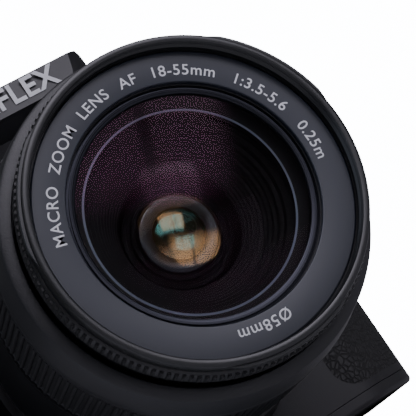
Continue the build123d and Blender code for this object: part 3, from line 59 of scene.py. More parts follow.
# %% The optical axis and the mount face
ring_low, ring_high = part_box("filter_ring")
mount_low, mount_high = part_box("mount_ring")
AXIS_Z = (mount_low.z + mount_high.z) / 2
FLANGE_Y = mount_low.y
LENS_LENGTH = (FLANGE_Y - ring_low.y) / MM
RIM_RADIUS = (ring_high.x - ring_low.x) / 2 / MM - 0.6
print("lens length", round(LENS_LENGTH, 2), "mm, rim radius", round(RIM_RADIUS, 2), "mm")

# %% [markdown]
# The camera comes early, because it decides how much detail each piece needs. It is a long lens held
# close to the front rim, a little below it and on the grip side, and rolled, so the rim fills the frame.

# %% Camera
VIEW_PLACE = Vector((-87.94, -344.93, -9.24)) * MM
VIEW_RIGHT = Vector((0.8142, -0.1883, -0.5492))
VIEW_UP = Vector((0.4697, -0.3423, 0.8138))
FOCAL_MM = 132.7

camera_data = bpy.data.cameras.new("viewpoint")
camera_data.lens = FOCAL_MM
camera_data.sensor_width = 36
camera_data.clip_start = 0.01
camera = bpy.data.objects.new("viewpoint", camera_data)
toward_viewer = VIEW_RIGHT.cross(VIEW_UP).normalized()
level_up = toward_viewer.cross(VIEW_RIGHT).normalized()
turned = Matrix((VIEW_RIGHT, level_up, toward_viewer)).transposed().to_4x4()
camera.matrix_world = Matrix.Translation(VIEW_PLACE) @ turned
bpy.context.scene.collection.objects.link(camera)
bpy.context.scene.camera = camera
print("camera:", FOCAL_MM, "mm lens")

# %% [markdown]
# Colours are written the way a paint chart gives them, as sRGB hex, and one function turns them into
# the linear values that the renderer works in. A second small function adds a node with its settings
# and links, so a material below reads as a short list of what it is made of.

# %% Colour and node helpers
def linear(hex_colour):
    """A linear RGBA colour from an sRGB hex value such as #1b1c1e."""
    channels = [int(hex_colour[i:i + 2], 16) / 255 for i in (1, 3, 5)]
    return tuple(c / 12.92 if c <= 0.04045 else ((c + 0.055) / 1.055) ** 2.4 for c in channels) + (1.0,)


def add_node(tree, kind, settings=None, links=None):
    """Add a node; settings go on its properties or sockets, links join other nodes' outputs to its inputs."""
    made = tree.nodes.new(kind)
    for key, value in (settings or {}).items():
        if isinstance(key, str) and hasattr(made, key):
            setattr(made, key, value)
        else:
            made.inputs[key].default_value = value
    for key, source in (links or {}).items():
        tree.links.new(source, made.inputs[key])
    return made


def new_material(name, shader):
    """A material with one Principled shader with these values; returns it, its tree and the shader."""
    material = bpy.data.materials.new(name)
    material.use_nodes = True
    tree = material.node_tree
    principled = tree.nodes["Principled BSDF"]
    for key, value in shader.items():
        principled.inputs[key].default_value = value
    return material, tree, principled


def millimetres(tree):
    """Object coordinates in millimetres, so a pattern's scale is its real size."""
    place = add_node(tree, "ShaderNodeTexCoord")
    return add_node(tree, "ShaderNodeMapping", {"Scale": (1000, 1000, 1000)},
                    {"Vector": place.outputs["Object"]}).outputs["Vector"]


# %% [markdown]
# The covers are black ABS from a spark-eroded mould. That leaves a fine even grain, which spreads the
# highlights. A slow second noise keeps big faces from looking sprayed with one flat value: it moves the
# roughness a little, as handling does on a real camera.

# %% Moulded ABS
def moulded_abs(name, colour, roughness, grain_mm, depth_mm, polish=0.06):
    """Black moulded plastic with a grain of this pitch and depth."""
    material, tree, principled = new_material(name, {"IOR": 1.53})
    vector = millimetres(tree)
    grain = add_node(tree, "ShaderNodeTexNoise", {"Scale": 1 / grain_mm, "Detail": 3.0, "Roughness": 0.6},
                     {"Vector": vector})
    handling = add_node(tree, "ShaderNodeTexNoise", {"Scale": 1 / 14, "Detail": 4.0}, {"Vector": vector})
    rough = add_node(tree, "ShaderNodeMapRange",
                     {"To Min": roughness - polish, "To Max": roughness + polish},
                     {"Value": handling.outputs["Fac"]})
    shade = add_node(tree, "ShaderNodeMix",
                     {"data_type": "RGBA", 6: linear(colour), 7: linear(lighter(colour, 1.25))},
                     {0: grain.outputs["Fac"]})
    bump = add_node(tree, "ShaderNodeBump", {"Strength": 0.5, "Distance": depth_mm * MM},
                    {"Height": grain.outputs["Fac"]})
    tree.links.new(shade.outputs[2], principled.inputs["Base Color"])
    tree.links.new(rough.outputs["Result"], principled.inputs["Roughness"])
    tree.links.new(bump.outputs["Normal"], principled.inputs["Normal"])
    return material


def lighter(hex_colour, factor):
    """The same hex colour with each channel raised by a factor."""
    return "#" + "".join(f"{min(255, round(int(hex_colour[i:i + 2], 16) * factor)):02x}" for i in (1, 3, 5))


casing_abs = moulded_abs("casing_moulded_abs", "#1a1a1c", 0.52, 0.28, 0.05)
cover_abs = moulded_abs("top_cover_satin_abs", "#19191b", 0.46, 0.2, 0.04)
barrel_abs = moulded_abs("barrel_satin_abs", "#151516", 0.38, 0.22, 0.02)
rim_abs = moulded_abs("rim_fine_abs", "#121314", 0.34, 0.16, 0.012)
button_abs = moulded_abs("button_semi_gloss_abs", "#222224", 0.36, 0.4, 0.01)
inner_abs = moulded_abs("inner_matt_abs", "#030304", 0.85, 0.3, 0.02)
# The name ring plate is black satin plastic; its blue tint is a painted reflection of the bluish light.
name_plate = moulded_abs("name_ring_satin_plate_with_painted_blue_reflection", "#1a1e27", 0.42, 0.25, 0.006, polish=0.03)
zoom_face = moulded_abs("zoom_ring_speckled_abs", "#1c1c1e", 0.42, 0.34, 0.09)
print("moulded plastics:", len(bpy.data.materials))

# %% [markdown]
# The grip skins are thin rubber sheets moulded with a leather grain. A Voronoi pattern gives the
# cells, and the distance to their edges gives the creases between them. The creases go deep through a
# bump, and their colour is darkened as painted shade; the cell tops are worn slightly smooth.

# %% Leathered and plain rubber
def leather_grain_rubber(name, colour, cell_mm, depth_mm):
    """Rubber sheet with a leather grain of this cell size."""
    material, tree, principled = new_material(name, {"IOR": 1.5})
    vector = millimetres(tree)
    wander = add_node(tree, "ShaderNodeTexNoise", {"Scale": 0.5 / cell_mm, "Detail": 2.0}, {"Vector": vector})
    moved = add_node(tree, "ShaderNodeVectorMath", {"operation": "ADD"},
                     {0: vector, 1: wander.outputs["Color"]})
    cells = add_node(tree, "ShaderNodeTexVoronoi", {"feature": "DISTANCE_TO_EDGE", "Scale": 1 / cell_mm},
                     {"Vector": moved.outputs["Vector"]})
    crease = add_node(tree, "ShaderNodeMapRange", {"From Max": 0.22, "interpolation_type": "SMOOTHSTEP"},
                      {"Value": cells.outputs["Distance"]})
    # The creases are darkened in colour: painted shade on top of the bump's real depth.
    shade = add_node(tree, "ShaderNodeMix",
                     {"data_type": "RGBA", 6: linear(lighter(colour, 0.55)), 7: linear(colour)},
                     {0: crease.outputs["Result"]})
    rough = add_node(tree, "ShaderNodeMapRange", {"To Min": 0.8, "To Max": 0.56},
                     {"Value": crease.outputs["Result"]})
    bump = add_node(tree, "ShaderNodeBump", {"Strength": 0.8, "Distance": depth_mm * MM},
                    {"Height": crease.outputs["Result"]})
    tree.links.new(shade.outputs[2], principled.inputs["Base Color"])
    tree.links.new(rough.outputs["Result"], principled.inputs["Roughness"])
    tree.links.new(bump.outputs["Normal"], principled.inputs["Normal"])
    return material


grip_rubber = leather_grain_rubber("grip_leathered_rubber", "#1b1b1c", 1.3, 0.22)
eyecup_rubber = moulded_abs("eyecup_matt_rubber", "#141415", 0.68, 0.5, 0.02)
rib_rubber = moulded_abs("zoom_grip_rubber", "#161617", 0.58, 0.3, 0.02)
print("rubbers:", grip_rubber.name, eyecup_rubber.name, rib_rubber.name)

# %% [markdown]
# Bare metal shows in few places: the mount ring, the shoe, the strap lugs and the screws. The mount
# ring is turned steel, and turning leaves fine rings round the axis. A wave texture in rings about
# the lens axis gives them, with a bump too fine to cast shadows but enough to stretch the highlight.

# %% Turned and brushed metal
def worked_steel(name, colour, roughness, pitch_mm, about_lens):
    """Bright steel with turning marks about the lens axis, or brushing along X."""
    material, tree, principled = new_material(name, {"Base Color": linear(colour), "Metallic": 1.0})
    place = add_node(tree, "ShaderNodeTexCoord")
    offset = (0, 0, -AXIS_Z * 1000) if about_lens else (0, 0, 0)
    vector = add_node(tree, "ShaderNodeMapping", {"Scale": (1000, 1000, 1000), "Location": offset},
                      {"Vector": place.outputs["Object"]}).outputs["Vector"]
    marks = add_node(tree, "ShaderNodeTexWave",
                     {"wave_type": "RINGS" if about_lens else "BANDS", "rings_direction": "Y",
                      "bands_direction": "Y", "Scale": 0.31 / pitch_mm, "Distortion": 1.2, "Detail": 3.0},
                     {"Vector": vector})
    rough = add_node(tree, "ShaderNodeMapRange", {"To Min": roughness - 0.07, "To Max": roughness + 0.07},
                     {"Value": marks.outputs["Fac"]})
    bump = add_node(tree, "ShaderNodeBump", {"Strength": 0.25, "Distance": 0.01 * MM},
                    {"Height": marks.outputs["Fac"]})
    tree.links.new(rough.outputs["Result"], principled.inputs["Roughness"])
    tree.links.new(bump.outputs["Normal"], principled.inputs["Normal"])
    return material


mount_steel = worked_steel("mount_turned_steel", "#c2c3c6", 0.26, 0.35, True)
shoe_steel = worked_steel("shoe_brushed_steel", "#a9aaad", 0.34, 0.3, False)
screw_steel = worked_steel("screw_black_zinc", "#3a3a3d", 0.38, 0.3, False)
retainer_metal = worked_steel("retainer_anodised_black", "#2b2c31", 0.3, 0.3, True)
print("metals:", mount_steel.name, shoe_steel.name, screw_steel.name, retainer_metal.name)

# %% [markdown]
# White lettering is pad-printed ink, a little raised and matt. Glass is one Principled shader with full
# transmission. Lens coatings take nearly all of the white reflection away and leave a faint colour,
# so the tint of the reflection is set dark plum on the front glass, and amber, teal and blue inside.

# %% Ink and glass
def printed_ink(name, colour):
    """Pad-printed ink with a slight wear in its cover."""
    material, tree, principled = new_material(name, {"Roughness": 0.55})
    speck = add_node(tree, "ShaderNodeTexNoise", {"Scale": 4.0, "Detail": 3.0}, {"Vector": millimetres(tree)})
    shade = add_node(tree, "ShaderNodeMix",
                     {"data_type": "RGBA", 6: linear(lighter(colour, 0.86)), 7: linear(colour)},
                     {0: speck.outputs["Fac"]})
    tree.links.new(shade.outputs[2], principled.inputs["Base Color"])
    return material


def coated_glass(name, reflection, ior):
    """Polished optical glass whose reflection is tinted by its coating, with faint cleaning marks."""
    material, tree, principled = new_material(
        name, {"IOR": ior, "Transmission Weight": 1.0, "Base Color": linear("#ffffff"),
               "Specular Tint": linear(reflection)})
    wipe = add_node(tree, "ShaderNodeTexNoise", {"Scale": 0.6, "Detail": 6.0}, {"Vector": millimetres(tree)})
    film = add_node(tree, "ShaderNodeMapRange", {"From Min": 0.55, "To Min": 0.0, "To Max": 0.02},
                    {"Value": wipe.outputs["Fac"]})
    tree.links.new(film.outputs["Result"], principled.inputs["Roughness"])
    return material


white_ink = printed_ink("lettering_white_ink", "#e6e7ea")
front_coating = coated_glass("front_glass_wine_coating", "#563048", 1.6)
edge_black = moulded_abs("blackened_glass_edge", "#050506", 0.7, 0.2, 0.01)
# The ground edge of the glass's hollow is coloured light bluish grey: a painted highlight.
ground_edge_painted_highlight = moulded_abs("ground_glass_edge_painted_highlight", "#6d7688", 0.45, 0.15, 0.01)
amber_coating = coated_glass("inner_glass_amber_coating", "#f0b878", 1.6)
teal_coating = coated_glass("inner_glass_teal_coating", "#6fc0b0", 1.7)
blue_coating = coated_glass("inner_glass_blue_coating", "#6f9cff", 1.8)
print("glasses:", front_coating.name, amber_coating.name, teal_coating.name, blue_coating.name)

# %% [markdown]
# Turned parts come from one helper. It spins a closed profile, given as (distance from the mount face,
# radius), round the optical axis. Points on the axis are welded, so a lens surface closes in a pole.
# Normals are recalculated, and edges sharper than 35 degrees stay crisp while the round way is smooth.

# %% The lathe
STEPS = 192
CREASE = math.radians(35)


def lens_point(along, radius, angle):
    """A point in metres at a distance from the mount face, a radius in mm and an angle up from +X."""
    return Vector((radius * MM * math.cos(angle), FLANGE_Y - along * MM, AXIS_Z + radius * MM * math.sin(angle)))


def place_mesh(name, mesh_builder, material, body):
    """Turn a bmesh into an object of its own with a material, riding on a body."""
    bmesh.ops.remove_doubles(mesh_builder, verts=mesh_builder.verts, dist=1e-7)
    bmesh.ops.recalc_face_normals(mesh_builder, faces=mesh_builder.faces)
    mesh = bpy.data.meshes.new(name)
    mesh_builder.to_mesh(mesh)
    mesh_builder.free()
    return place_object(name, mesh, material, body)


def place_object(name, mesh, material, body):
    """Link a finished mesh as a smooth-shaded object that rides on a body."""
    if material:
        mesh.materials.clear()
        mesh.materials.append(material)
    mesh.shade_smooth()
    mesh.set_sharp_from_angle(angle=CREASE)
    made = bpy.data.objects.new(name, mesh)
    bpy.context.scene.collection.objects.link(made)
    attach(made, body)
    return made


def lathe(name, profile, material, body, steps=STEPS):
    """Spin a closed (along, radius) profile round the optical axis."""
    builder = bmesh.new()
    rows = []
    for step in range(steps):
        angle = 2 * math.pi * step / steps
        rows.append([builder.verts.new(lens_point(along, radius, angle)) for along, radius in profile])
    count = len(profile)
    for step in range(steps):
        here, there = rows[step], rows[(step + 1) % steps]
        for k in range(count):
            after = (k + 1) % count
            corners = [here[k], here[after], there[after], there[k]]
            if profile[k][1] == 0 and profile[after][1] == 0:
                continue
            if profile[k][1] == 0:
                corners = [here[k], here[after], there[after]]
            elif profile[after][1] == 0:
                corners = [here[k], here[after], there[k]]
            builder.faces.new(corners)
    return place_mesh(name, builder, material, body)


def dome(apex, curve, inner, outer, count):
    """Points of a ball-shaped surface from an inner to an outer radius."""
    points = []
    for k in range(count + 1):
        radius = inner + (outer - inner) * k / count
        fall = curve - math.sqrt(curve ** 2 - radius ** 2)
        points.append((apex - fall, radius))
    return points


print("lathe steps:", STEPS)

# %% [markdown]
# The front group turns and travels with the focus ring. The glass is a meniscus: gently domed in front
# and hollow behind, which is why one sees two bright circles, its rim and the edge of the hollow. The
# brightness of the inner circle is a painted highlight, a light bluish grey colour on a narrow ground ring.
# A thin blackened retainer holds it, and the name ring sits a millimetre in front of that.

# %% Front glass, retainer and name ring
GLASS_RIM = 21.3
CLEAR = 18.3
# Width of the ground ring at the hollow's edge that carries the painted highlight.
GROUND_HIGHLIGHT_RING = 0.4
APEX = LENS_LENGTH - 3.3
glass_front = dome(APEX, 142.6, 0, GLASS_RIM - 0.25, 24)
rim_front = glass_front[-1][0]
hollow_rear = dome(APEX - 2.2, 40.0, 0, CLEAR, 24)
rear_edge = hollow_rear[-1][0]
front_glass = lathe(
    "front_glass", glass_front + [(rim_front - 0.25, GLASS_RIM), (rear_edge, GLASS_RIM),
                                  (rear_edge, CLEAR + GROUND_HIGHLIGHT_RING)]
    + hollow_rear[::-1], front_coating, "focus_ring")
front_glass.data.materials.append(edge_black)
front_glass.data.materials.append(ground_edge_painted_highlight)
# The rim and rear flat take the blackened edge; the narrow ring at the hollow's edge takes the painted highlight.
for face in front_glass.data.polygons:
    middle = front_glass.matrix_world @ face.center
    radius = math.hypot(middle.x, middle.z - AXIS_Z) / MM
    if (FLANGE_Y - middle.y) / MM < rim_front - 0.02 and radius > CLEAR:
        face.material_index = 2 if radius < CLEAR + GROUND_HIGHLIGHT_RING else 1
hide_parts("front_element")

retainer_face = rim_front + 0.55
retainer = lathe(
    "glass_retainer",
    [(rim_front - 0.6, GLASS_RIM + 0.05), (rim_front + 0.02, GLASS_RIM - 0.5),
     (rim_front + 0.12, GLASS_RIM - 0.85), (retainer_face - 0.1, GLASS_RIM - 0.7),
     (retainer_face, GLASS_RIM - 0.5), (retainer_face, GLASS_RIM + 0.25),
     (retainer_face - 0.45, GLASS_RIM + 0.3), (retainer_face - 0.5, GLASS_RIM + 0.75),
     (rim_front - 0.6, GLASS_RIM + 0.8)], retainer_metal, "focus_ring")

NAME_FACE = LENS_LENGTH - 3.0
NAME_IN = 22.2
NAME_OUT = RIM_RADIUS - 1.8
name_ring = lathe(
    "name_ring_face",
    [(NAME_FACE - 1.2, NAME_IN + 0.1), (NAME_FACE - 0.25, NAME_IN), (NAME_FACE - 0.05, NAME_IN + 0.12),
     (NAME_FACE, NAME_IN + 0.3), (NAME_FACE, NAME_OUT - 0.25), (NAME_FACE - 0.2, NAME_OUT),
     (NAME_FACE - 1.2, NAME_OUT)],
    name_plate, "focus_ring")
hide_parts("name_ring")
print("glass edge behind the rim:", round(LENS_LENGTH - rim_front, 2), "mm")

# %% [markdown]
# The filter ring carries a fine thread inside, three turns at 0.75 mm drawn as plain grooves because a
# helix cannot be told apart at this size. Outside are three bayonet lugs for a hood, each with slanted
# ends so that the hood rides up onto it.

# %% Filter ring with thread and hood lugs
THREAD_PITCH = 0.75
WALL_IN = RIM_RADIUS - 1.5
ring_base = LENS_LENGTH - 3.2
thread = []
groove = LENS_LENGTH - 0.62
while groove > ring_base + THREAD_PITCH:
    thread += [(groove, WALL_IN), (groove - 0.3, WALL_IN + 0.26), (groove - 0.45, WALL_IN + 0.26)]
    groove -= THREAD_PITCH
filter_profile = [(ring_base, RIM_RADIUS - 0.1), (ring_base + 0.15, RIM_RADIUS),
                  (LENS_LENGTH - 0.42, RIM_RADIUS), (LENS_LENGTH - 0.14, RIM_RADIUS - 0.1),
                  (LENS_LENGTH - 0.02, RIM_RADIUS - 0.36),
                  (LENS_LENGTH, RIM_RADIUS - 0.6), (LENS_LENGTH, WALL_IN + 0.55),
                  (LENS_LENGTH - 0.1, WALL_IN + 0.25),
                  (LENS_LENGTH - 0.45, WALL_IN)] + thread + [(ring_base, WALL_IN)]
filter_ring = lathe("filter_ring_threaded", filter_profile, rim_abs, "focus_ring")
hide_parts("filter_ring")

LUG_ARC = 48.0
LUG_SLANT = 6.0
LUG_STEPS = 36
builder = bmesh.new()
for middle in (30, 150, 270):
    sections = []
    for step in range(LUG_STEPS + 1):
        turn = -LUG_ARC / 2 + LUG_ARC * step / LUG_STEPS
        to_end = LUG_ARC / 2 - abs(turn)
        share = min(1.0, to_end / LUG_SLANT)
        rear = LENS_LENGTH - 0.75 - 1.25 * share
        outer = RIM_RADIUS + 0.05 + 0.55 * min(1.0, 0.15 + share)
        corners = [(LENS_LENGTH - 0.55, RIM_RADIUS - 0.3), (LENS_LENGTH - 0.55, outer - 0.12),
                   (LENS_LENGTH - 0.7, outer), (rear + 0.1, outer), (rear, outer - 0.1),
                   (rear, RIM_RADIUS - 0.3)]
        angle = math.radians(middle + turn)
        sections.append([builder.verts.new(lens_point(along, radius, angle)) for along, radius in corners])
    for here, there in zip(sections, sections[1:]):
        for k in range(len(here)):
            after = (k + 1) % len(here)
            builder.faces.new([here[k], here[after], there[after], there[k]])
    builder.faces.new(sections[0][::-1])
    builder.faces.new(sections[-1])
hood_lugs = place_mesh("hood_lugs", builder, rim_abs, "focus_ring")
print("thread grooves:", len(thread) // 3, "and 3 hood lugs")

# %% [markdown]
# Behind the front glass is a deep black chamber. A ringed light trap narrows from the glass to the inner
# group, which is a grey cell under a cover lens. Three more lenses lie deeper, each with a coating, so
# the window is seen in them several times over, in amber, teal and blue.

# %% Light trap and inner lenses
trap_front, trap_rear = rear_edge - 0.15, 49.2
TRAP_WIDE, TRAP_NARROW, TRAP_RINGS = 18.6, 13.0, 11
trap = [(trap_front, TRAP_WIDE + 0.9)]
for k in range(TRAP_RINGS):
    share = k / TRAP_RINGS
    along = trap_front + (trap_rear - trap_front) * share
    radius = TRAP_WIDE + (TRAP_NARROW - TRAP_WIDE) * share ** 0.8
    trap += [(along, radius), (along - 0.62, radius - 0.06), (along - 0.68, radius + 0.28)]
trap += [(trap_rear, TRAP_NARROW), (trap_rear, TRAP_NARROW + 0.7)]
light_trap = lathe("light_trap", trap, inner_abs, "focus_ring", 128)

CELL_FACE = 45.7
cell = [(CELL_FACE - 3.2, 5.9), (CELL_FACE - 1.6, 5.7), (CELL_FACE - 0.5, 5.55), (CELL_FACE - 0.12, 5.7),
        (CELL_FACE, 5.95), (CELL_FACE + 0.05, 8.2), (CELL_FACE - 0.15, 8.5), (CELL_FACE - 0.9, 8.6),
        (CELL_FACE - 3.2, 8.6)]
inner_cell = lathe("inner_cell", cell, barrel_abs, "inner_barrel", 128)
seat = [(37.0, 7.0), (40.5, 7.0), (CELL_FACE - 3.3, 7.0), (CELL_FACE - 3.3, 8.7), (CELL_FACE - 1.2, 8.8),
        (CELL_FACE - 1.2, 9.5), (CELL_FACE + 0.3, 9.7), (CELL_FACE + 0.3, 10.3), (CELL_FACE - 1.4, 10.6),
        (CELL_FACE - 1.45, 11.4), (CELL_FACE + 0.1, 11.6), (CELL_FACE + 0.1, 12.2), (CELL_FACE - 2.5, 12.5),
        (40.0, 12.5), (40.0, 28.3), (37.0, 28.3)]
cell_seat = lathe("inner_cell_seat", seat, inner_abs, "inner_barrel", 128)
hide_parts("aperture_unit")

inner_specs = [("inner_lens_cover", 48.5, 20.0, 9.3, 45.85, amber_coating),
               ("inner_lens_front", 45.2, 12.0, 5.5, 43.0, teal_coating),
               ("inner_lens_middle", 41.0, 9.0, 5.0, 39.4, amber_coating),
               ("inner_lens_rear", 38.6, 30.0, 5.0, 37.4, blue_coating)]
for name, apex, curve, edge, flat, coating in inner_specs:
    profile = dome(apex, curve, 0, edge, 16) + [(flat, edge), (flat, 0)]
    lens = lathe(name, profile, coating, "inner_barrel", 96)
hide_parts("middle_element")

# %% [markdown]
# The focus ring, the sliding barrel and the zoom ring are the outer turned parts. The zoom ring is
# moulded with a coarse sparkle, front face and bevel alike, and the rubber sleeve behind it has ribs.

# %% Focus ring, barrel and zoom ring
FOCUS_FRONT, FOCUS_REAR = ring_base, ring_base - 3.6
focus_profile = [(46.8, 24.8), (46.8, 26.3), (FOCUS_REAR, 26.3), (FOCUS_REAR, 30.5), (FOCUS_REAR + 0.15, 30.75),
                 (FOCUS_REAR + 0.9, 30.75), (FOCUS_FRONT - 0.5, 30.45), (FOCUS_FRONT - 0.15, 30.3),
                 (FOCUS_FRONT, 30.0),
                 (FOCUS_FRONT, 28.3), (NAME_FACE - 1.2, 28.3), (NAME_FACE - 1.25, 22.15),
                 (NAME_FACE - 1.3, 22.1), (rear_edge - 0.05, 21.35), (rear_edge - 0.1, 19.6),
                 (rear_edge - 1, 19.3),
                 (rear_edge - 1, 24.8)]
focus_ring = lathe("focus_ring_turned", focus_profile, barrel_abs, "focus_ring")
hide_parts("focus_ring")

BARREL_OUT = RIM_RADIUS - 0.2
BARREL_FRONT = LENS_LENGTH - 7.2
barrel_profile = [(24.0, BARREL_OUT - 1.5), (24.0, BARREL_OUT), (BARREL_FRONT - 0.3, BARREL_OUT),
                  (BARREL_FRONT, BARREL_OUT - 0.3), (BARREL_FRONT, BARREL_OUT - 1.2),
                  (BARREL_FRONT - 0.3, BARREL_OUT - 1.5)]
inner_barrel = lathe("zoom_barrel_turned", barrel_profile, barrel_abs, "inner_barrel")
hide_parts("inner_barrel")

ZOOM_FRONT = LENS_LENGTH - 10.6
ZOOM_REAR = 31.0
GRIP = 33.45
zoom_profile = [(ZOOM_REAR, 31.1), (ZOOM_REAR, GRIP - 0.1), (ZOOM_REAR + 0.2, GRIP + 0.2),
                (ZOOM_REAR + 1.0, GRIP + 0.2), (ZOOM_REAR + 1.2, GRIP), (ZOOM_FRONT - 9.6, GRIP),
                (ZOOM_FRONT - 9.4, GRIP + 0.55),
                (ZOOM_FRONT - 9.2, GRIP + 0.7), (ZOOM_FRONT - 8.9, GRIP + 0.7), (ZOOM_FRONT - 8.8, GRIP + 0.45),
                (ZOOM_FRONT - 8.6, GRIP + 0.45), (ZOOM_FRONT - 8.5, GRIP + 0.7), (ZOOM_FRONT - 7.2, GRIP + 0.7),
                (ZOOM_FRONT - 6.8, GRIP + 0.62), (ZOOM_FRONT - 0.55, GRIP - 0.2),
                (ZOOM_FRONT - 0.2, GRIP - 0.35),
                (ZOOM_FRONT, GRIP - 0.7), (ZOOM_FRONT, 30.85), (ZOOM_FRONT - 0.25, 30.6),
                (ZOOM_FRONT - 3, 30.6),
                (ZOOM_FRONT - 3, 31.1)]
zoom_ring = lathe("zoom_ring_turned", zoom_profile, zoom_face, "zoom_ring")
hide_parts("zoom_ring")
grip_profile = [(ZOOM_REAR + 1.3, GRIP - 0.05), (ZOOM_REAR + 1.35, GRIP + 0.12),
                (ZOOM_FRONT - 9.75, GRIP + 0.12),
                (ZOOM_FRONT - 9.7, GRIP - 0.05)]
grip_sleeve = lathe("zoom_grip_sleeve", grip_profile, rib_rubber, "zoom_ring")
print("zoom ring from", ZOOM_REAR, "to", round(ZOOM_FRONT, 1), "mm")

# %% [markdown]
# Ribs repeat round a ring, so one Geometry Nodes tree makes them all. It puts a small rounded bar on
# every point of a circle, turns each outward, and stands the circle up square to the optical axis. Its
# named inputs are what a drawing would give: how many, on what radius, how long, wide and high.

# %% One tree for rings of ribs
def rib_tree():
    """Geometry Nodes: rounded bars on a circle about the optical axis."""
    tree = bpy.data.node_groups.new("ring_of_ribs", "GeometryNodeTree")
    face = tree.interface
    face.new_socket("Geometry", in_out="OUTPUT", socket_type="NodeSocketGeometry")
    for name, kind in (("Geometry", "Geometry"), ("Count", "Int"), ("Radius", "Float"), ("Length", "Float"),
                       ("Width", "Float"), ("Height", "Float"), ("Middle", "Vector"), ("Material", "Material")):
        face.new_socket(name, in_out="INPUT", socket_type="NodeSocket" + kind)
    given = add_node(tree, "NodeGroupInput").outputs
    circle = add_node(tree, "GeometryNodeMeshCircle", None,
                      {"Vertices": given["Count"], "Radius": given["Radius"]})
    bar_size = add_node(tree, "ShaderNodeCombineXYZ", None,
                        {0: given["Height"], 1: given["Width"], 2: given["Length"]})
    bar = add_node(tree, "GeometryNodeMeshCylinder", {"Vertices": 12, "Radius": 0.5, "Depth": 1.0})
    outward = add_node(tree, "FunctionNodeAlignRotationToVector", {"axis": "X"},
                       {"Vector": add_node(tree, "GeometryNodeInputPosition").outputs[0]})
    bars = add_node(tree, "GeometryNodeInstanceOnPoints", None,
                    {"Points": circle.outputs[0], "Instance": bar.outputs["Mesh"],
                     "Rotation": outward.outputs[0], "Scale": bar_size.outputs[0]})
    real = add_node(tree, "GeometryNodeRealizeInstances", None, {0: bars.outputs[0]})
    stood = add_node(tree, "GeometryNodeTransform", {"Rotation": (math.pi / 2, 0, 0)},
                     {"Geometry": real.outputs[0], "Translation": given["Middle"]})
    painted = add_node(tree, "GeometryNodeSetMaterial", None,
                       {"Geometry": stood.outputs[0], "Material": given["Material"]})
    add_node(tree, "NodeGroupOutput", None, {"Geometry": painted.outputs[0]})
    return tree


RIBS = rib_tree()


def applied(name, tree, values, body):
    """Run a Geometry Nodes tree with these inputs and keep only its mesh, riding on a body."""
    carrier = bpy.data.objects.new(name + "_carrier", bpy.data.meshes.new(name + "_carrier"))
    bpy.context.scene.collection.objects.link(carrier)
    modifier = carrier.modifiers.new("build", "NODES")
    modifier.node_group = tree
    for item in tree.interface.items_tree:
        if item.item_type == "SOCKET" and item.in_out == "INPUT" and item.name in values:
            modifier[item.identifier] = values[item.name]
    graph = bpy.context.evaluated_depsgraph_get()
    mesh = bpy.data.meshes.new_from_object(carrier.evaluated_get(graph))
    bpy.data.objects.remove(carrier, do_unlink=True)
    mesh.name = name
    made = place_object(name, mesh, None, body)
    return made


def ribs(name, count, radius, start, end, width, height, material, body):
    """A ring of ribs between two distances along the lens, sizes in mm."""
    middle = lens_point((start + end) / 2, 0, 0)
    return applied(name, RIBS, {"Count": count, "Radius": radius * MM, "Length": (end - start) * MM,
                                "Width": width * MM, "Height": height * MM, "Middle": middle,
                                "Material": material}, body)


zoom_ribs = ribs("zoom_grip_ribs", 132, GRIP + 0.15, ZOOM_REAR + 1.45, ZOOM_FRONT - 9.8, 0.95, 1.1, rib_rubber,
                 "zoom_ring")
focus_ribs = ribs("focus_ring_ribs", 150, 30.6, FOCUS_REAR + 0.5, FOCUS_FRONT - 0.45, 0.7, 0.5, barrel_abs,
                  "focus_ring")
print("ribs:", len(zoom_ribs.data.polygons), "and", len(focus_ribs.data.polygons), "faces")

# %% [markdown]
# Lettering follows the name ring letter by letter. Each word is set straight by a text object and made a
# mesh. Then every letter, found as a run of faces with no gap between them, is carried round the ring
# without bending it.

# %% Lettering on the name ring
def word_mesh(word, height_mm, thick_mm=0.012, bold=0.0):
    """The mesh of a word in metres, centred in width, with capitals of this height."""
    text = bpy.data.curves.new("word", "FONT")
    text.body = word
    text.size = height_mm * MM / 0.7
    text.extrude = thick_mm * MM
    text.offset = bold * MM
    text.space_character = 1.06
    text.align_x = "CENTER"
    holder = bpy.data.objects.new("word", text)
    bpy.context.scene.collection.objects.link(holder)
    graph = bpy.context.evaluated_depsgraph_get()
    mesh = bpy.data.meshes.new_from_object(holder.evaluated_get(graph))
    bpy.data.objects.remove(holder, do_unlink=True)
    return mesh


def letter_spans(mesh):
    """The left and right edge of each letter of a straight word."""
    reach = sorted((min(xs), max(xs)) for xs in
                   ([mesh.vertices[v].co.x for v in face.vertices] for face in mesh.polygons))
    spans = []
    for low, high in reach:
        if spans and low <= spans[-1][1] + 1e-6:
            spans[-1][1] = max(spans[-1][1], high)
        else:
            spans.append([low, high])
    return spans


def ring_word(name, word, middle_degrees, base, height_mm, face_along, material, body, bold=0.02):
    """A word on a ring's face, its baseline on a radius in mm, its letters' tops outward."""
    mesh = word_mesh(word, height_mm, bold=bold)
    spans = letter_spans(mesh)
    middle = math.radians(middle_degrees)
    for vertex in mesh.vertices:
        x, y, z = vertex.co
        low, high = next(s for s in spans if x <= s[1] + 1e-7)
        centre = (low + high) / 2
        angle = middle - centre / (base * MM)
        outward = Vector((math.cos(angle), 0, math.sin(angle)))
        reading = Vector((math.sin(angle), 0, -math.cos(angle)))
        start = lens_point(face_along, 0, 0)
        vertex.co = start + outward * (base * MM + y) + reading * (x - centre) + Vector((0, -z, 0))
    mesh.name = name
    return place_object(name, mesh, material, body)


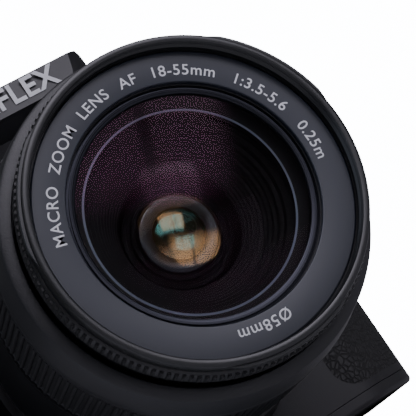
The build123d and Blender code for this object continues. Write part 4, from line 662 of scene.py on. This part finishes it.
ROLL = 34.0
LETTER_BASE = 23.55
RING_CAPS = 2.0
PRINT_LIFT = 0.008
ring_words = [("near_focus", "MACRO", 191), ("zoom", "ZOOM", 162), ("lens", "LENS", 138),
              ("focus_kind", "AF", 120), ("focal_range", "18-55mm", 96), ("aperture_range", "1:3.5-5.6", 62),
              ("nearest", "0.25m", 32), ("filter_size", "Ø58mm", 299)]
for name, word, place in ring_words:
    piece = ring_word("letters_" + name, word, place - ROLL, LETTER_BASE, RING_CAPS,
                      NAME_FACE + PRINT_LIFT, white_ink, "focus_ring")
print("words on the name ring:", [word for _, word, _ in ring_words])

# %% [markdown]
# The zoom ring is marked with focal lengths. The front of the flash housing carries a plain word.

# %% Marks on the zoom ring, barrel and housing
def barrel_word(name, word, degrees, radius, along, height_mm, material, body):
    """A word wrapped round a barrel, read from above with the lens pointing up the page."""
    mesh = word_mesh(word, height_mm, bold=0.02)
    for vertex in mesh.vertices:
        x, y, z = vertex.co
        angle = math.radians(degrees) - x / (radius * MM)
        outward = Vector((math.cos(angle), 0, math.sin(angle)))
        vertex.co = lens_point(along, radius, angle) + Vector((0, -y, 0)) + outward * z
    mesh.name = name
    return place_object(name, mesh, material, body)


MARK_ALONG = ZOOM_FRONT - 8.8
focal_marks = [("18", 90), ("24", 108), ("35", 129), ("45", 146), ("55", 160)]
for word, degrees in focal_marks:
    piece = barrel_word("mark_" + word, word, degrees, GRIP + 0.71, MARK_ALONG, 1.7, white_ink, "zoom_ring")
print("focal marks:", [word for word, _ in focal_marks])

nose_low, nose_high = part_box("flash_head")
front_words = word_mesh("REFLEX", 4.6, bold=0.16)
for vertex in front_words.vertices:
    x, y, z = vertex.co
    vertex.co = Vector((x, nose_low.y - 0.00002 - z, nose_low.z + 0.0016 + y))
housing_word = place_object("letters_housing", front_words, white_ink, "flash")
print("housing face at", [round(v, 4) for v in nose_low], [round(v, 4) for v in nose_high])

# %% [markdown]
# The rest of the materials cover what sits behind windows or under doors: the mirror, the screen panel,
# the sensor, the circuit board, and the painted blades of the shutter. Each has one pattern that says
# what it is, at its real scale.

# %% Materials seen through windows and doors
def patterned(name, shader, first, second, texture, settings, bump_mm=0.0, low=0.4, high=0.6):
    """A material whose colour runs between two values over a texture, with an optional bump."""
    material, tree, principled = new_material(name, shader)
    pattern = add_node(tree, texture, settings, {"Vector": millimetres(tree)})
    value = pattern.outputs["Fac"] if "Fac" in pattern.outputs else pattern.outputs[0]
    limits = add_node(tree, "ShaderNodeMapRange", {"From Min": low, "From Max": high}, {"Value": value})
    shade = add_node(tree, "ShaderNodeMix", {"data_type": "RGBA", 6: linear(first), 7: linear(second)},
                     {0: limits.outputs["Result"]})
    tree.links.new(shade.outputs[2], principled.inputs["Base Color"])
    if bump_mm:
        bump = add_node(tree, "ShaderNodeBump", {"Strength": 0.6, "Distance": bump_mm * MM},
                        {"Height": limits.outputs["Result"]})
        tree.links.new(bump.outputs["Normal"], principled.inputs["Normal"])
    return material


mirror_silver = patterned("front_silvered_mirror", {"Metallic": 1.0, "Roughness": 0.03}, "#d4d8dc", "#dfe2e5",
                          "ShaderNodeTexNoise", {"Scale": 0.3})
lcd_black = patterned("lcd_panel_black", {"Roughness": 0.12, "Coat Weight": 0.4}, "#07080a", "#0c0e12",
                      "ShaderNodeTexBrick", {"Scale": 2.0})
sensor_silicon = patterned("sensor_silicon", {"Roughness": 0.15, "Metallic": 0.6}, "#2c2140", "#3d4a66",
                           "ShaderNodeTexWave", {"Scale": 0.12, "Distortion": 3.0})
solder_mask = patterned("board_solder_mask", {"Roughness": 0.4}, "#0f3d22", "#2b6b3c", "ShaderNodeTexBrick",
                        {"Scale": 0.35, "Mortar Size": 0.05}, bump_mm=0.05)
battery_abs = patterned("battery_case_abs", {"Roughness": 0.5}, "#202124", "#2a2b2e", "ShaderNodeTexNoise",
                        {"Scale": 2.5, "Detail": 4.0}, bump_mm=0.03)
blade_paint = patterned("shutter_blade_black_paint", {"Roughness": 0.45, "Metallic": 0.3}, "#17171a", "#222226",
                        "ShaderNodeTexWave", {"Scale": 0.1, "bands_direction": "Z"}, bump_mm=0.1)
window_acrylic = patterned("window_smoked_acrylic", {"Roughness": 0.04, "IOR": 1.49, "Coat Weight": 0.3},
                           "#050608", "#0b0c0f", "ShaderNodeTexNoise", {"Scale": 0.5})
flash_diffuser = patterned("flash_diffuser_ribbed", {"Roughness": 0.2, "IOR": 1.49}, "#c9ced2", "#f1f3f4",
                           "ShaderNodeTexWave", {"Scale": 0.6, "bands_direction": "X"}, bump_mm=0.2)
ground_glass = patterned("focusing_screen_ground", {"Roughness": 0.5, "IOR": 1.5}, "#9a9c9e", "#aeb0b2",
                         "ShaderNodeTexNoise", {"Scale": 6.0}, bump_mm=0.01)
print("window and door materials:", mirror_silver.name, lcd_black.name, sensor_silicon.name, solder_mask.name,
      battery_abs.name, blade_paint.name, window_acrylic.name, flash_diffuser.name, ground_glass.name)

# %% The listed CAD nodes get their materials
paint = {
    casing_abs: ["front_casing", "rear_casing", "bottom_cover", "battery_door"],
    cover_abs: ["top_cover", "flash_head"],
    inner_abs: ["mirror_box", "shutter_frame", "focus_guide"],
    grip_rubber: ["grip_cover", "side_panel", "thumb_rest"],
    eyecup_rubber: ["eyecup", "port_cover"],
    button_abs: ["shutter_button", "main_dial", "mode_dial", "power_switch", "flash_button", "lens_release_button",
                 "diopter_dial", "menu_button", "playback_button", "delete_button", "set_button", "cross_pad",
                 "focus_mode_switch", "stabilizer_switch"],
    mount_steel: ["mount_ring", "lens_bayonet", "tripod_socket", "lens_lock_pin"],
    shoe_steel: ["hot_shoe", "strap_lugs"],
    screw_steel: ["mount_screws", "base_screws"],
    barrel_abs: ["rear_barrel"],
    teal_coating: ["rear_element", "eyepiece_lens"],
    ground_glass: ["focusing_screen"],
    window_acrylic: ["lcd_window"],
    flash_diffuser: ["flash_window"],
    lcd_black: ["lcd_panel"],
    sensor_silicon: ["image_sensor"],
    solder_mask: ["main_board", "connector_ports"],
    battery_abs: ["battery", "memory_card"],
    mirror_silver: ["main_mirror", "sub_mirror", "pentamirror"],
    blade_paint: ["shutter_curtain"],
}
for material, names in paint.items():
    for name in names:
        mesh = NODES[name].data
        mesh.materials.clear()
        mesh.materials.append(material)
painted = sum(len(names) for names in paint.values())
print("CAD nodes painted:", painted, "of", len(NODES))

# %% [markdown]
# Small marks finish the controls: letters and numbers on the mode dial and words on the buttons. They are
# printed, so they are thin pieces that ride on their part.

# %% Marks on the controls
def flat_word(name, word, place, right, up, height_mm, material, body, bold=0.02):
    """A word printed flat at a place in metres, along a right and an up direction."""
    mesh = word_mesh(word, height_mm, bold=bold)
    right, up = Vector(right).normalized(), Vector(up).normalized()
    out = right.cross(up)
    for vertex in mesh.vertices:
        x, y, z = vertex.co
        vertex.co = Vector(place) + right * x + up * (y - height_mm * MM / 2) + out * (z + 0.00001)
    mesh.name = name
    made = place_object(name, mesh, material, body)
    return made


dial_low, dial_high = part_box("mode_dial")
dial_middle = (dial_low + dial_high) / 2
DIAL_CAPS = 1.9
LETTERS_OUT = 0.0066
modes = ["M", "A", "S", "P", "1", "2", "3", "4", "5", "6"]
for k, word in enumerate(modes):
    turn = 2 * math.pi * k / len(modes)
    outward = Vector((math.sin(turn), math.cos(turn), 0))
    place = Vector((dial_middle.x, dial_middle.y, dial_high.z)) + outward * LETTERS_OUT
    flat_word("mode_" + word, word, place, (outward.y, -outward.x, 0), outward, DIAL_CAPS, white_ink,
              "mode_dial")

for name, word, body in (("menu", "MENU", "menu_button"), ("play", "P", "playback_button"),
                         ("erase", "D", "delete_button"), ("set", "SET", "set_button")):
    low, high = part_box(body)
    place = Vector(((low.x + high.x) / 2, high.y, (low.z + high.z) / 2))
    caps = DIAL_CAPS if len(word) == 1 else 1.15
    flat_word("label_" + name, word, place, (-1, 0, 0), (0, 0, 1), caps, white_ink, body, 0.01)
print("mode dial marks:", modes)

# %% [markdown]
# The camera looks up at the object a little, from below the level of its base, so the floor is
# one-sided: its upper face is pale and its underside lets everything through.

# %% Floor, world and lights
floor_mesh = bpy.data.meshes.new("floor")
FLOOR_HALF = 2
floor_mesh.from_pydata([(-FLOOR_HALF, -FLOOR_HALF, 0), (FLOOR_HALF, -FLOOR_HALF, 0),
                        (FLOOR_HALF, FLOOR_HALF, 0),
                        (-FLOOR_HALF, FLOOR_HALF, 0)], [], [(0, 1, 2, 3)])
floor = bpy.data.objects.new("floor", floor_mesh)
bpy.context.scene.collection.objects.link(floor)
floor_paper, tree, principled = new_material("floor_pale_paper", {"Base Color": linear("#f4f4f5"),
                                                                  "Roughness": 0.9})
clear = add_node(tree, "ShaderNodeBsdfTransparent")
side = add_node(tree, "ShaderNodeMixShader", None,
                {0: add_node(tree, "ShaderNodeNewGeometry").outputs["Backfacing"],
                 1: principled.outputs[0], 2: clear.outputs[0]})
tree.links.new(side.outputs[0], tree.nodes["Material Output"].inputs["Surface"])
floor_mesh.materials.append(floor_paper)

SKY_SEEN = 16.0
SKY_LIGHT = 0.08
world = bpy.data.worlds.new("studio")
world.use_nodes = True
bpy.context.scene.world = world
sky = world.node_tree.nodes["Background"]
seen = add_node(world.node_tree, "ShaderNodeLightPath").outputs["Is Camera Ray"]
strength = add_node(world.node_tree, "ShaderNodeMapRange", {"To Min": SKY_LIGHT, "To Max": SKY_SEEN},
                    {"Value": seen})
world.node_tree.links.new(strength.outputs["Result"], sky.inputs["Strength"])
sky.inputs["Color"].default_value = linear("#f7f9ff")
print("floor and sky ready")

# %% [markdown]
# One large window with a blind lights the scene from the grip side and above, and its shape is what the
# front glass reflects. It is a glowing pane, placed by where its corners appear in that reflection. Two
# soft lamps at the sides keep the edges of the black barrel from sinking into one another.

# %% The window and a fill
def lens_direction(x, y, z):
    """A direction given as the rolled camera sees it, turned into the frame of the CAD model."""
    roll = math.radians(ROLL)
    sideways = x * math.cos(roll) + y * math.sin(roll)
    upward = -x * math.sin(roll) + y * math.cos(roll)
    return Vector((sideways, -z, upward)).normalized()


GLASS_MIDDLE = lens_point(APEX, 0, 0)


def facing_glass(direction, side_direction, distance):
    """The place of something that faces the glass from a distance, its width along a side direction."""
    back = direction.normalized()
    across = (side_direction - back * side_direction.dot(back)).normalized()
    place = Matrix((across, back.cross(across), back)).transposed().to_4x4()
    place.translation = GLASS_MIDDLE + back * distance
    return place


def soft_light(name, direction, side_direction, distance, width, height, power, colour):
    """An area light in a direction from the glass, facing it, with its width along a side direction."""
    data = bpy.data.lights.new(name, "AREA")
    data.shape = "RECTANGLE"
    data.size, data.size_y = width, height
    data.energy = power
    data.color = linear(colour)[:3]
    lamp = bpy.data.objects.new(name, data)
    lamp.matrix_world = facing_glass(direction, side_direction, distance)
    bpy.context.scene.collection.objects.link(lamp)
    return lamp


LAMP_REACH = 0.9
upright = lens_direction(0, 1, 0)
fill = soft_light("fill", lens_direction(-0.95, 0.1, 0.15), upright, LAMP_REACH, 0.9, 0.5, 1.5, "#dbe6ff")
rim = soft_light("rim", lens_direction(0.9, -0.15, 0.25), upright, LAMP_REACH, 0.3, 0.9, 0.6, "#e4ecff")
pane_mesh = bpy.data.meshes.new("window_pane")
HALF, BAR_X, WINDOW_GLOW = 0.34, 0.09, 6.0
pane_mesh.from_pydata([(-HALF, -HALF, 0), (HALF, -HALF, 0), (HALF, HALF, 0), (-HALF, HALF, 0)], [],
                      [(0, 1, 2, 3)])
pane = bpy.data.objects.new("window_pane", pane_mesh)
PANE_REACH = 0.8
pane.matrix_world = facing_glass(lens_direction(-0.12, 0.62, 0.77), lens_direction(1, 0.25, 0), PANE_REACH)
pane.visible_camera = False
bpy.context.scene.collection.objects.link(pane)

daylight, tree, principled = new_material("window_daylight", {"Base Color": (0, 0, 0, 1),
                                                              "Emission Color": linear("#f4f0ff")})
place = add_node(tree, "ShaderNodeTexCoord").outputs["Object"]
axes = add_node(tree, "ShaderNodeSeparateXYZ", None, {0: place}).outputs
fades = []
for axis, soft in (("X", 0.10), ("Y", 0.16)):
    off = add_node(tree, "ShaderNodeMath", {"operation": "ABSOLUTE"}, {0: axes[axis]})
    fades.append(add_node(tree, "ShaderNodeMapRange", {"interpolation_type": "SMOOTHSTEP", "From Min": HALF,
                                                       "From Max": HALF - soft}, {"Value": off.outputs[0]}))
both = add_node(tree, "ShaderNodeMath", {"operation": "MULTIPLY"},
                {0: fades[0].outputs[0], 1: fades[1].outputs[0]})
blinds = add_node(tree, "ShaderNodeTexWave", {"bands_direction": "Y", "Scale": 9.0}, {"Vector": place})
slats = add_node(tree, "ShaderNodeMapRange", {"To Min": 0.75, "To Max": 1.0}, {"Value": blinds.outputs["Fac"]})
from_bar = add_node(tree, "ShaderNodeMath", {"operation": "SUBTRACT", 1: BAR_X}, {0: axes["X"]})
bar_gap = add_node(tree, "ShaderNodeMath", {"operation": "ABSOLUTE"}, {0: from_bar.outputs[0]})
bar = add_node(tree, "ShaderNodeMapRange", {"From Min": 0.008, "From Max": 0.02, "To Min": 0.25},
               {"Value": bar_gap.outputs[0]})
lit = add_node(tree, "ShaderNodeMath", {"operation": "MULTIPLY"},
               {0: both.outputs[0], 1: slats.outputs["Result"]})
glow = add_node(tree, "ShaderNodeMath", {"operation": "MULTIPLY"},
                {0: lit.outputs[0], 1: bar.outputs["Result"]})
power = add_node(tree, "ShaderNodeMath", {"operation": "MULTIPLY", 1: WINDOW_GLOW}, {0: glow.outputs[0]})
tree.links.new(power.outputs[0], principled.inputs["Emission Strength"])
pane_mesh.materials.append(daylight)
print("lights:", pane.name, fill.name, rim.name)

# %% Finish
print("finished")
